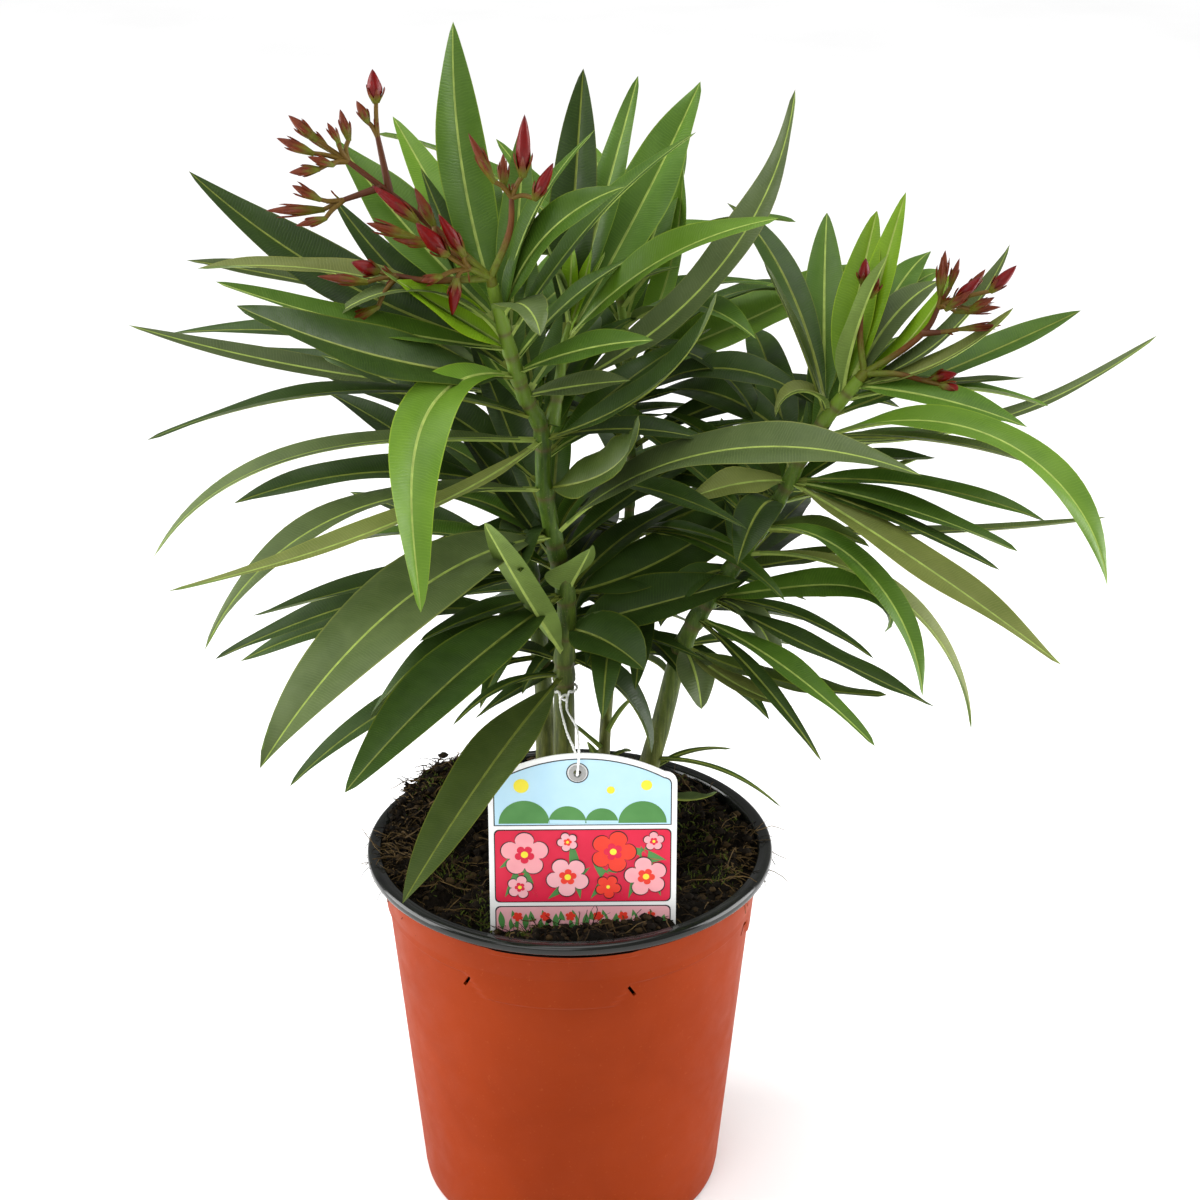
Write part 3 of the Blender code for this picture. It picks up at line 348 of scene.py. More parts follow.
def spread(tree, value, low, high, out_low=0.0, out_high=1.0):
    """The value's range from low to high stretched over another range, and held at its ends."""
    values = {"Value": value, "From Min": low, "From Max": high, "To Min": out_low, "To Max": out_high}
    return add(tree, "MapRange", values, clamp=True).outputs[0]


def bumped(tree, shader, height, strength=0.3, distance=0.0004):
    """Fine relief, with its depth in metres."""
    node = add(tree, "Bump", {"Height": height, "Strength": strength, "Distance": distance})
    tree.links.new(node.outputs[0], shader.inputs["Normal"])


def set_colour(tree, shader, colour):
    tree.links.new(colour, shader.inputs["Base Color"])


def set_finish(tree, shader, rough, gloss):
    """The roughness, which is a number or a socket, and how strongly the surface mirrors."""
    if isinstance(rough, bpy.types.NodeSocket):
        tree.links.new(rough, shader.inputs["Roughness"])
    else:
        shader.inputs["Roughness"].default_value = rough
    shader.inputs["Specular IOR Level"].default_value = gloss


# ---------------------------------------------------------------- materials of the plant

# Each kind of leaf: the upper face's darker and paler green, and its roughness.
LEAF_KINDS = {
    "dark": ((0.0175, 0.038, 0.005), (0.037, 0.071, 0.010), 0.42),
    "deep": ((0.026, 0.064, 0.004), (0.056, 0.108, 0.010), 0.42),
    "olive": ((0.033, 0.055, 0.008), (0.064, 0.093, 0.016), 0.46),
    # The next kind's pale grey-green is partly painted sheen: the shine of leaves that catch the light, laid
    # over their own green.
    "grey_sheen": ((0.052, 0.078, 0.021), (0.096, 0.130, 0.042), 0.46),
    "mid": ((0.041, 0.094, 0.007), (0.080, 0.152, 0.016), 0.44),
    # Straw is a pale yellowed green; on the right stem's leaf at heading 314 it is painted sheen.
    "straw": ((0.110, 0.138, 0.026), (0.180, 0.205, 0.052), 0.48),
    "bright": ((0.073, 0.152, 0.009), (0.120, 0.218, 0.020), 0.44),
    "young": ((0.098, 0.190, 0.003), (0.155, 0.268, 0.008), 0.46),
}
RIB_COLOURS = {"dark": (0.165, 0.20, 0.034), "light": (0.27, 0.35, 0.075)}
UNDER_COLOURS = {"dark": (0.060, 0.090, 0.024), "light": (0.120, 0.180, 0.034)}
LIGHT_KINDS = ("bright", "young", "straw", "mid", "grey_sheen")
# Side veins: their spacing, how far they lean to the tip, and how far they wander.
VEIN_PITCH = 1.15
VEIN_SLANT = 0.28
VEIN_WOBBLE = 2.6
VEIN_SHARE = 0.55
# How much leaves differ in brightness, one from the next.
LEAF_TONES = (0.80, 1.22)
LEAF_GLOSS = 0.2


def vein_pattern(tree):
    """Fine side veins that leave the midrib nearly square and lean to the tip."""
    along = attribute(tree, "along")
    aside = maths(tree, "ABSOLUTE", attribute(tree, "aside"))
    phase = maths(tree, "SUBTRACT", along, maths(tree, "MULTIPLY", aside, VEIN_SLANT))
    wobble = maths(tree, "MULTIPLY", speckle(tree, 160), VEIN_WOBBLE)
    turns = maths(tree, "MULTIPLY", maths(tree, "ADD", phase, wobble), 2 * math.pi / VEIN_PITCH)
    wave = spread(tree, maths(tree, "SINE", turns), 0.1, 1.0)
    return maths(tree, "MULTIPLY", wave, spread(tree, speckle(tree, 95, 3), 0.35, 0.65, 0.3, 1.0))


def leaf_material(kind):
    """A leaf's upper face: cloudy green with fine veins, a paler rim and a tone of its own."""
    low, high, rough = LEAF_KINDS[kind]
    made, tree, shader = new_material("leaf_" + kind)
    veins = vein_pattern(tree)
    cloud = spread(tree, speckle(tree, 55, 4, 0.6, 0.4), 0.35, 0.68)
    colour = mixed(tree, maths(tree, "MULTIPLY", cloud, VEIN_SHARE), low, high)
    colour = mixed(tree, maths(tree, "MULTIPLY", veins, VEIN_SHARE), colour, high)
    near_rib = spread(tree, maths(tree, "ABSOLUTE", attribute(tree, "aside")), 0.6, 3.0, 0.30, 0.0)
    colour = mixed(tree, near_rib, colour, high)
    rim = spread(tree, attribute(tree, "edge"), 0.94, 0.995, 0, 0.7)
    colour = mixed(tree, rim, colour, (1.3 * high[0] + 0.06, 1.2 * high[1] + 0.05, high[2]))
    shade = spread(tree, attribute(tree, "tone"), 0, 1, *LEAF_TONES)
    tint = add(tree, "CombineColor", {0: shade, 1: shade, 2: shade}).outputs[0]
    set_colour(tree, shader, mixed(tree, 1.0, colour, tint, "MULTIPLY"))
    dull = spread(tree, speckle(tree, 210, 3), 0.3, 0.7, rough - 0.05, rough + 0.1)
    set_finish(tree, shader, dull, LEAF_GLOSS)
    fine = maths(tree, "MULTIPLY", speckle(tree, 900, 2), 0.5)
    bumped(tree, shader, maths(tree, "ADD", veins, fine), 0.28, 0.0002)
    return made


def rib_material(kind):
    made, tree, shader = new_material("midrib_" + kind)
    colour = RIB_COLOURS[kind]
    grain = spread(tree, speckle(tree, 240, 3), 0.3, 0.7)
    set_colour(tree, shader, mixed(tree, grain, times(colour, 0.8), times(colour, 1.2)))
    set_finish(tree, shader, 0.5, LEAF_GLOSS)
    bumped(tree, shader, speckle(tree, 800, 2), 0.15, 0.0002)
    return made


def under_material(kind):
    made, tree, shader = new_material("leaf_underside_" + kind)
    colour = UNDER_COLOURS[kind]
    veins = vein_pattern(tree)
    cloud = spread(tree, speckle(tree, 80, 4, 0.6), 0.3, 0.7)
    base = mixed(tree, cloud, times(colour, 0.78), times(colour, 1.15))
    set_colour(tree, shader, mixed(tree, maths(tree, "MULTIPLY", veins, 0.25), base, times(colour, 1.5)))
    set_finish(tree, shader, 0.6, LEAF_GLOSS)
    bumped(tree, shader, veins, 0.3, 0.0002)
    return made


def bark_material():
    """Green bark that is brown and dull at the foot and yellow-green and smooth at the tip."""
    made, tree, shader = new_material("bark")
    age = attribute(tree, "age")
    scar = attribute(tree, "scar")
    streak = spread(tree, speckle(tree, 520, 4, 0.6, 0, (1, 1, 0.10)), 0.34, 0.66)
    low = mixed(tree, streak, (0.036, 0.036, 0.008), (0.125, 0.118, 0.028))
    high = mixed(tree, streak, (0.022, 0.050, 0.003), (0.066, 0.118, 0.008))
    colour = mixed(tree, spread(tree, age, 0.05, 0.55), low, high)
    colour = mixed(tree, spread(tree, age, 0.75, 1.0), colour, (0.135, 0.215, 0.022))
    spots = spread(tree, speckle(tree, 1300, 2), 0.62, 0.72, 0, 0.5)
    colour = mixed(tree, spots, colour, (0.17, 0.15, 0.06))
    colour = mixed(tree, maths(tree, "MULTIPLY", scar, 0.75), colour, (0.085, 0.055, 0.025))
    set_colour(tree, shader, colour)
    set_finish(tree, shader, spread(tree, age, 0, 1, 0.62, 0.42), LEAF_GLOSS)
    bumped(tree, shader, streak, 0.35, 0.0004)
    return made


def bud_material(name, base, tip, dark, rough):
    """A colour that runs from the foot to the tip, with fine streaks lengthwise."""
    made, tree, shader = new_material(name)
    along = attribute(tree, "along")
    streak = spread(tree, speckle(tree, 520, 3, 0.6), 0.35, 0.7)
    colour = mixed(tree, spread(tree, along, 0.25, 0.6), base, tip)
    colour = mixed(tree, spread(tree, along, 0.85, 1.0, 0, 0.8), colour, dark)
    set_colour(tree, shader, mixed(tree, maths(tree, "MULTIPLY", streak, 0.4), colour, dark))
    set_finish(tree, shader, rough, LEAF_GLOSS)
    bumped(tree, shader, streak, 0.2, 0.0003)
    return made


# ---------------------------------------------------------------- meshes from arrays

class Book:
    """Collects the points and faces of many small meshes that end up as one piece."""

    def __init__(self, *fields):
        self.points = []
        self.faces = []
        self.slots = []
        self.fields = {name: [] for name in fields}
        self.count = 0

    def add(self, points, faces, slots, **values):
        """Slots are one material slot for all the faces, or a list with one for each."""
        self.points.append(np.asarray(points, float))
        self.faces += [tuple(i + self.count for i in face) for face in faces]
        self.slots += slots if isinstance(slots, list) else [slots] * len(faces)
        for name, stored in self.fields.items():
            stored.append(np.broadcast_to(np.asarray(values.get(name, 0.0), float), len(points)))
        self.count += len(points)

    def piece(self, name, materials, angle=50):
        """The finished object, in metres, smooth but for edges sharper than the angle."""
        mesh = bpy.data.meshes.new(name)
        mesh.from_pydata((np.concatenate(self.points) * MM).tolist(), [], self.faces)
        for material in materials:
            mesh.materials.append(material)
        mesh.polygons.foreach_set("material_index", self.slots)
        mesh.polygons.foreach_set("use_smooth", [True] * len(mesh.polygons))
        for field, stored in self.fields.items():
            layer = mesh.attributes.new(field, "FLOAT", "POINT")
            layer.data.foreach_set("value", np.concatenate(stored).astype(np.float32))
        mesh.set_sharp_from_angle(angle=math.radians(angle))
        obj = bpy.data.objects.new(name, mesh)
        bpy.context.scene.collection.objects.link(obj)
        return obj


def settle(obj, slot, *nodes):
    """Puts a finished piece on the plant's one body and in place of its solids."""
    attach(obj, BODY)
    if nodes:
        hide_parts(*nodes)
    return obj


def tube_faces(rings, sides):
    """Quads between neighbouring rings of points, and a fan at either end's single point."""
    faces = []
    for r in range(rings - 1):
        for k in range(sides):
            n = (k + 1) % sides
            a, b = r * sides, (r + 1) * sides
            faces.append((a + k, a + n, b + n, b + k))
    start, end = rings * sides, rings * sides + 1
    for k in range(sides):
        n = (k + 1) % sides
        faces.append((start, n, k))
        last = (rings - 1) * sides
        faces.append((end, last + k, last + n))
    return faces


def unit(v):
    return v / np.linalg.norm(v)


def direction(heading, rise):
    """The unit vector at a heading and an angle above the level."""
    turn, lift = math.radians(heading), math.radians(rise)
    return np.array([math.cos(lift) * math.cos(turn), math.cos(lift) * math.sin(turn), math.sin(lift)])


def tube(line, radii, sides=8):
    """Points and faces of a round tube along a line, with closed ends."""
    line = np.asarray(line, float)
    ahead = np.gradient(line, axis=0)
    ahead /= np.linalg.norm(ahead, axis=1)[:, None]
    side = unit(np.cross(ahead[0], (0.3, 0.9, 0.2)))
    rings = []
    for place, tangent, radius in zip(line, ahead, radii):
        side = unit(side - tangent * np.dot(side, tangent))
        up = np.cross(tangent, side)
        turns = np.arange(sides) * 2 * math.pi / sides
        rings.append(place + radius * (np.outer(np.cos(turns), side) + np.outer(np.sin(turns), up)))
    points = np.concatenate(rings + [line[:1], line[-1:]])
    return points, tube_faces(len(line), sides)


# ---------------------------------------------------------------- stems

def smooth_line(points, per_span=8):
    """A Catmull-Rom curve through the points, as in the part's source."""
    ends = np.array([points[0], *points, points[-1]], float)
    ends[0] = 2 * ends[1] - ends[2]
    ends[-1] = 2 * ends[-2] - ends[-3]
    line = []
    for a, b, c, d in zip(ends, ends[1:], ends[2:], ends[3:]):
        for t in np.arange(per_span) / per_span:
            line.append(0.5 * (2 * b + (c - a) * t + (2 * a - 5 * b + 4 * c - d) * t * t
                               + (3 * b - a - 3 * c + d) * t ** 3))
    line.append(ends[-2])
    return np.array(line)


STEM_LINES = {name: smooth_line(points) for name, (points, _, _) in STEMS.items()}


# Limbs: the flare at the foot and the swelling at a whorl, each as a share and how far it reaches.
FLARE = (0.28, 12)
SWELLING = (0.14, 4)


def stem_point(stem, z):
    """The centre of a stem at a height."""
    line = STEM_LINES[stem]
    return np.array([np.interp(z, line[:, 2], line[:, axis]) for axis in range(2)] + [z])


def stem_radius(stem, z):
    """Taper from foot to tip, with a flare at the foot and a slight swelling at each whorl."""
    points, foot, tip = STEMS[stem]
    low, high = points[0][2], points[-1][2]
    radius = foot + (tip - foot) * (z - low) / (high - low)
    flare = 1 + FLARE[0] * max(0, 1 - (z - low) / FLARE[1]) ** 2
    swelling = max([SWELLING[0] * max(0, 1 - abs(z - row[0]) / SWELLING[1]) for row in WHORLS[stem]])
    return radius * (flare + swelling)


BARK_SIDES = 30
BARK_PITCH = 1.2
BARK_FLUTES = 0.022
BARK_GRAIN = 0.035
# How much stouter the bark is than the plain limb inside it.
BARK_GIRTH = {"left": 1.17, "young": 1.1, "back": 1.25, "middle": 1.1, "right": 1.12}


def bark_radius(stem, z):
    return stem_radius(stem, z) * BARK_GIRTH[stem]


def bark_relief(stem, z, turn, near):
    """Share by which the bark stands out: shallow flutes, fine grain and a ring under each whorl."""
    place = Vector((math.cos(turn) * 2, math.sin(turn) * 2, z * 0.05 + len(stem)))
    grain = noise.noise(place * 2.6)
    flutes = BARK_FLUTES * math.cos(3 * turn + z * 0.045 + len(stem))
    ring = 0.07 * math.exp(-((near + 2.2) / 0.8) ** 2) - 0.05 * math.exp(-((near + 3.6) / 0.6) ** 2)
    return 1 + flutes + BARK_GRAIN * grain + ring


def build_bark(stem):
    """The whole stem in bark, in place of its bare wood and of the cores of its masses."""
    book = Book("age", "scar")
    low, high = STEMS[stem][0][0][2], STEMS[stem][0][-1][2]
    heights = np.linspace(low, high, int((high - low) / BARK_PITCH) + 1)
    whorls = np.array([row[0] for row in WHORLS[stem]])
    rings, ages, scars = [], [], []
    for z in heights:
        centre = stem_point(stem, z)
        tangent = unit(stem_point(stem, min(z + 1, high)) - stem_point(stem, max(z - 1, low)))
        side = unit(np.cross(tangent, (0, 1, 0)))
        across = np.cross(tangent, side)
        near = (z - whorls)[np.argmin(abs(z - whorls + 2.5))]
        radius = bark_radius(stem, z)
        turns = np.arange(BARK_SIDES) * 2 * math.pi / BARK_SIDES
        reach = np.array([radius * bark_relief(stem, z, t, near) for t in turns])
        ring = centre + reach[:, None] * (np.outer(np.cos(turns), side) + np.outer(np.sin(turns), across))
        if stem in GROUNDED:
            ring[:, 2] = np.maximum(ring[:, 2], low)
        rings.append(ring)
        ages += [min(1.0, (z - SOIL_LEVEL) / (high - SOIL_LEVEL))] * BARK_SIDES
        scars += [math.exp(-((near + 3.2) / 0.9) ** 2)] * BARK_SIDES
    tip = stem_point(stem, high) + np.array([0, 0, 0.15])
    points = np.concatenate(rings + [[stem_point(stem, low)], [tip]])
    faces = tube_faces(len(heights), BARK_SIDES)
    book.add(points, faces, 0, age=np.array(ages + [0, 1]), scar=np.array(scars + [0, 0]))
    nodes = [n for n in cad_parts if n.startswith(f"leaves_{stem}_")]
    settle(book.piece(f"bark_{stem}", [BARK], 70), "green_stem", f"stem_{stem}", *sorted(nodes))


# ---------------------------------------------------------------- leaves

STALK_SHARE = 0.08


def half_width(t, width):
    """Half the blade's breadth at t: a short stalk, then a long lance shape."""
    if t < STALK_SHARE:
        return STALK_WIDTH / 2
    u = (t - STALK_SHARE) / (1 - STALK_SHARE)
    lance = math.sin(math.pi * u ** 0.85) ** 0.8 if u < 1 else 0
    return max(STALK_WIDTH / 2 * (1 - u), width / 2 * lance)


def ahead_at(leaf, t):
    """The blade's direction at t, as in the part's source."""
    heading, rise, droop, _, _, _, sweep, bow = leaf
    return heading + sweep * (t - 0.5), rise - droop * (bow + 1) / 2 * t ** bow


def coarse_tip(leaf):
    """Where the solid's blade ends, from its base."""
    steps = np.arange(COARSE_STEPS) / COARSE_STEPS
    return sum(direction(*ahead_at(leaf, t)) for t in steps) * leaf[3] / COARSE_STEPS


def rule_leaves(stem, row, draw):
    """The listed leaves of a whorl, with the free places of the whorl filled by the rule."""
    z, count, given = row
    leaves = list(given)
    low, high = WHORLS[stem][0][0], WHORLS[stem][-1][0]
    up = (z - low) / (high - low)
    first = given[0][0] if given else draw.uniform(0, 360)
    for k in range(3):
        heading = (first + WHORL_STEP * k) % 360 + draw.uniform(-RULE_TURN, RULE_TURN)
        length = draw.uniform(*RULE_LENGTH)
        rise = RULE_RISE[0] + (RULE_RISE[1] - RULE_RISE[0]) * up + draw.uniform(-RULE_LIFT, RULE_LIFT)
        droop = draw.uniform(*RULE_DROOP)
        near = min([turn_between(heading, leaf[0]) for leaf in leaves] or [180])
        bare = FRONT[0] < heading % 360 < FRONT[1] and z < FRONT_BARE[stem]
        if len(leaves) < count and near > RULE_CLEAR and not bare:
            leaves.append((heading, rise, droop, length, length * RULE_SLENDER, 0, None))
    return leaves


def kind_last(leaf):
    """A leaf of the table with its sweep and bow filled in and its kind moved to the end."""
    return (*leaf[:6], *(leaf[7:] or (0, 1)), leaf[6])


def mass_of(stem, z):
    """The node whose stretch of stem holds this height."""
    cuts = CUTS[stem]
    words = ("low", "mid", "top") if len(cuts) == 3 else ("low", "top")
    return f"leaves_{stem}_{words[sum(z > cut for cut in cuts) - 1]}"


SAME_PLACE = 0.1


def settled(base, leaf, corners):
    """The leaf as its solid holds it, nudged as there, or None where the solid leaves it out."""
    for turn, lift in NUDGES:
        trial = (leaf[0] + turn, leaf[1] + lift, *leaf[2:])
        tip = (base + coarse_tip(trial)) * MM
        if corners.find(tip)[2] < SAME_PLACE * MM:
            return trial
    return None


# The blade's mesh: its rows at full length, where its points lie between midrib and edge, its
# thickness, the groove above the midrib and the keel below it.
LEAF_ROWS = 34
LEAF_ROWS_LEAST = 14
FULL_LENGTH = 120
BLADE_SHARES = (0.0, 0.25, 0.5, 0.75, 1.0)
UNDER_SHARES = (0.66, 0.33, 0.0)
BLADE_THICK = 0.5
RIB_GROOVE = 0.14
KEEL_DEPTH = 0.9
KEEL_WIDTH = 1.3
# How one leaf differs from the next: twist, fold along the midrib, waves of the edge and their height.
LEAF_TWIST = (-16, 16)
LEAF_FOLD = (10, 20)
LEAF_WAVES = (1.2, 2.6)
LEAF_SWING = (0.02, 0.06)
WAVE_PHASE = (0, 6.28)
RULE_SWEEP = (-25, 25)
RULE_BOW = (0.8, 1.6)


def spine(leaf, twist, rows):
    """Places and frames along the midrib, evenly spaced from the base to the tip."""
    length, roll = leaf[3], leaf[5]
    place = np.zeros(3)
    frames = []
    fine = 4
    for t in np.linspace(0, 1, rows + 1):
        heading, pitch = ahead_at(leaf, t)
        turn = math.radians(heading)
        flat = np.array([math.sin(turn), -math.cos(turn), 0.0])
        above = np.cross(flat, direction(heading, pitch))
        tilt = math.radians(roll + twist * (t - 0.4))
        side = flat * math.cos(tilt) + above * math.sin(tilt)
        up = above * math.cos(tilt) - flat * math.sin(tilt)
        frames.append((t, place.copy(), side, up))
        for k in range(fine):
            place = place + direction(*ahead_at(leaf, t + k / fine / rows)) * length / rows / fine
    return frames


def blade_section(half, rib, t):
    """A cut across the blade, all round: how far aside, its share of the way to the edge, how deep."""
    keel = KEEL_WIDTH * rib
    spots = [(-(rib + (half - rib) * s), s, 0.0) for s in BLADE_SHARES[::-1]]
    spots.append((0.0, 0.0, RIB_GROOVE))
    spots += [(rib + (half - rib) * s, s, 0.0) for s in BLADE_SHARES]
    spots += [(keel + (half - keel) * s, s, BLADE_THICK) for s in UNDER_SHARES]
    spots.append((0.0, 0.0, BLADE_THICK + KEEL_DEPTH * (1 - t) ** 0.7))
    spots += [(-(keel + (half - keel) * s), s, BLADE_THICK) for s in UNDER_SHARES[::-1]]
    return spots


def blade_slots(rows, slots):
    """The material slot of each of the blade's faces, in the order of tube_faces."""
    top, rib, under = slots
    tops, unders = len(BLADE_SHARES) - 1, len(UNDER_SHARES)
    row = [top] * tops + [rib] * 2 + [top] * tops + [under] * unders + [rib] * 2 + [under] * unders
    chosen = []
    for r in range(rows - 1):
        chosen += [rib] * len(row) if r < 0.05 * rows else row
    for slot in row:
        chosen += [rib, slot]
    return chosen


def add_leaf(book, base, leaf, draw, slots):
    """One leaf as a thin closed blade with a sunken midrib above and a raised one below."""
    length, width = leaf[3], leaf[4]
    rows = max(LEAF_ROWS_LEAST, round(LEAF_ROWS * min(1, length / FULL_LENGTH)))
    twist = draw.uniform(*LEAF_TWIST)
    fold = math.radians(draw.uniform(*LEAF_FOLD))
    waves = draw.uniform(*LEAF_WAVES)
    swing = draw.uniform(*LEAF_SWING) * width
    phase = (draw.uniform(*WAVE_PHASE), draw.uniform(*WAVE_PHASE))
    frames = spine(leaf, twist, rows)
    points, along, aside, edge = [], [], [], []
    for t, place, side, up in frames[:-1]:
        half = half_width(t, width) * (1 - 0.015 * math.sin(13 * t + phase[0]))
        rib = min(0.45 * half, 0.2 + 0.55 * (1 - t) ** 0.8)
        spots = blade_section(half, rib, t)
        for x, share, depth in spots:
            lift = abs(x) * math.sin(fold) + 0.05 * half * math.sin(math.pi * share)
            swell = swing * share * share * math.sin(waves * 2 * math.pi * t + phase[int(x > 0)])
            height = lift + swell * min(1.0, 6 * t) - depth * (1 - share ** 4)
            points.append(base + place + side * x * math.cos(fold) + up * height)
            along.append(t * length)
            aside.append(x)
            edge.append(abs(x) / half)
    points = np.array(points + [base, base + frames[-1][1]])
    faces = [face[::-1] for face in tube_faces(rows, len(spots))]
    tone = draw.random()
    book.add(points, faces, blade_slots(rows, slots), along=np.array(along + [0, length]),
             aside=np.array(aside + [0, 0]), edge=np.array(edge + [0, 1]), tone=tone)


# The kind of a ruled leaf, by how far up its stem it grows, give or take a draw.
KINDS_BY_HEIGHT = ((0.45, "dark"), (0.8, "deep"), (1.1, "mid"))
KIND_DRAW = 0.25


def rule_kind(stem, z, draw):
    """Leaves low on a stem are dark, and those near its tip are fresher."""
    low, high = WHORLS[stem][0][0], WHORLS[stem][-1][0]
    up = (z - low) / (high - low) + draw.uniform(-KIND_DRAW, KIND_DRAW)
    return next((kind for limit, kind in KINDS_BY_HEIGHT if up < limit), "bright")


def coarse_blade(base, leaf):
    """A flat ribbon of the leaf, from clear of its stem to its tip, to test what it would touch."""
    points, faces = [], []
    for t, place, side, _ in spine(leaf, 0, 10):
        if t < 0.15:
            continue
        reach = side * max(0.2, half_width(t, leaf[4]))
        points += [tuple(base + place - reach), tuple(base + place + reach)]
        if len(points) > 2:
            n = len(points)
            faces.append((n - 4, n - 3, n - 1, n - 2))
    return BVHTree.FromPolygons(points, faces)


# Finer leaves that fill the crown between the whorls: how many a stem has, and their sizes.
FILL_COUNT = {"left": 40, "young": 8, "back": 60, "middle": 80, "right": 40}
# The front stems carry their finer leaves at the back only.
FILL_HEADING = {"left": (15, 165), "right": (5, 150)}
FILL_LENGTH = (55, 105)
FILL_RISE = (5, 55)
FILL_DROOP = (15, 60)
FILL_SLENDER = 0.17
FILL_LIFT = 10
FILL_SEED = 5
# The finer leaves may grow at the front from this far below the height where the whorls' may.
FILL_FRONT = 60


def inside_reach(point):
    """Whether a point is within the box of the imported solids."""
    return all(CAD_BOX[0][k] / MM < point[k] < CAD_BOX[1][k] / MM for k in range(3))


def fill_leaves(stem, grown, draw):
    """Leaves by the same rule between the whorls, kept only where they touch nothing."""
    made = []
    low, high = WHORLS[stem][0][0] + 4, WHORLS[stem][-1][0]
    for _ in range(FILL_COUNT[stem]):
        z = draw.uniform(low, high)
        up = (z - low) / (high - low)
        length = draw.uniform(*FILL_LENGTH)
        rise = FILL_RISE[0] + (FILL_RISE[1] - FILL_RISE[0]) * up + draw.uniform(-FILL_LIFT, FILL_LIFT)
        bend = draw.uniform(*RULE_SWEEP), draw.uniform(*RULE_BOW)
        heading = draw.uniform(*FILL_HEADING.get(stem, (0, 360)))
        leaf = (heading, rise, draw.uniform(*FILL_DROOP), length, length * FILL_SLENDER, 0, *bend)
        kind = rule_kind(stem, z, draw)
        base = stem_point(stem, z)
        bare = FRONT[0] < heading < FRONT[1] and z < FRONT_BARE[stem] - FILL_FRONT
        if bare or not inside_reach(base + coarse_tip(leaf)):
            continue
        tree = coarse_blade(base, leaf)
        if any(tree.overlap(other) for other in grown):
            continue
        grown.append(tree)
        made.append((z, base, leaf, kind))
    return made


# Small loose leaves low on the stems: height, kind and leaf.
EXTRA_LEAVES = {
    "right": (
        (186, "dark", (28, -42, -46, 40, 12, 30, 20, 1)),
        (198, "dark", (335, 20, 60, 62, 3.2, 0, 10, 1)),
        (192, "olive", (20, 30, 50, 40, 4, 0, 0, 1))),
    "young": (
        (388, "young", (75, 77, -6, 36, 8, 20, 0, 1)),
        (386, "young", (20, 68, -10, 34, 7, -20, 0, 1)),
        (390, "young", (200, 80, 10, 22, 6, 0, 0, 1))),
    "middle": (
        (178, "mid", (250, 62, 20, 34, 4.5, 0, 10, 1)),
        (182, "olive", (300, 58, 40, 30, 4, 0, -10, 1)),
        (190, "mid", (215, 50, 10, 32, 4, 0, 0, 1)),
        (196, "bright", (320, 66, 20, 30, 4, 0, 0, 1))),
}


def corner_trees():
    """The corners of each mass's solid, in metres, to look up the tips of its leaves."""
    trees = {}
    for name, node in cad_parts.items():
        if name.startswith("leaves_"):
            found = KDTree(len(node.data.vertices))
            for i, vertex in enumerate(node.data.vertices):
                found.insert(vertex.co, i)
            found.balance()
            trees[name] = found
    return trees


def slots_of(kind):
    """Material slots of a leaf: its upper face, its midrib and its underside."""
    kinds, light = list(LEAF_KINDS), kind in LIGHT_KINDS
    return kinds.index(kind), len(kinds) + light, len(kinds) + 2 + light


def build_leaves():
    """Every leaf of the solids in full detail, then the finer ones, as one piece a mass."""
    corners = corner_trees()
    books = {name: Book("along", "aside", "edge", "tone") for name in corners}
    draw, look, fill = random.Random(SEED), random.Random(SEED + 1), random.Random(FILL_SEED)
    grown = []
    for stem, rows in WHORLS.items():
        for row in rows:
            base = stem_point(stem, row[0])
            mass = mass_of(stem, row[0])
            for *shape, kind in map(kind_last, rule_leaves(stem, row, draw)):
                if kind is None:
                    shape = settled(base, shape, corners[mass])
                    if shape is None:
                        continue
                    kind = rule_kind(stem, row[0], look)
                    shape = (*shape[:6], look.uniform(*RULE_SWEEP), look.uniform(*RULE_BOW))
                add_leaf(books[mass], base, shape, look, slots_of(kind))
                grown.append(coarse_blade(base, shape))
    for stem in WHORLS:
        for z, kind, leaf in EXTRA_LEAVES.get(stem, ()):
            add_leaf(books[mass_of(stem, z)], stem_point(stem, z), leaf, fill, slots_of(kind))
        for z, base, leaf, kind in fill_leaves(stem, grown, fill):
            add_leaf(books[mass_of(stem, z)], base, leaf, fill, slots_of(kind))
    materials = [*LEAF_TOPS.values(), *RIBS.values(), *UNDERS.values()]
    for mass, book in books.items():
        settle(book.piece("foliage" + mass[len("leaves"):], materials), "foliage", mass)


# ---------------------------------------------------------------- buds

BUD_SIDES = 15
BUD_ROWS = 16
SEPALS = 5
SEPAL_ROWS = 7
# Buds thinner than this are still wrapped in their sepals for most of their length.
OPENING_BUD = 4.8
WRAPPED_REACH = (0.62, 0.85)
OPENING_REACH = (0.38, 0.52)
# Slots of the buds' materials.
PETAL, SEPAL, STALK = range(3)


def bud_radius(t, thick):
    """A bud's radius at t: it swells quickly from its foot and narrows to a point."""
    swell = 0.24 + 0.76 * math.sin(math.pi / 2 * min(1, t / 0.5)) ** 1.2
    return thick / 2 * swell * (1 - t ** 2.6) ** 0.9


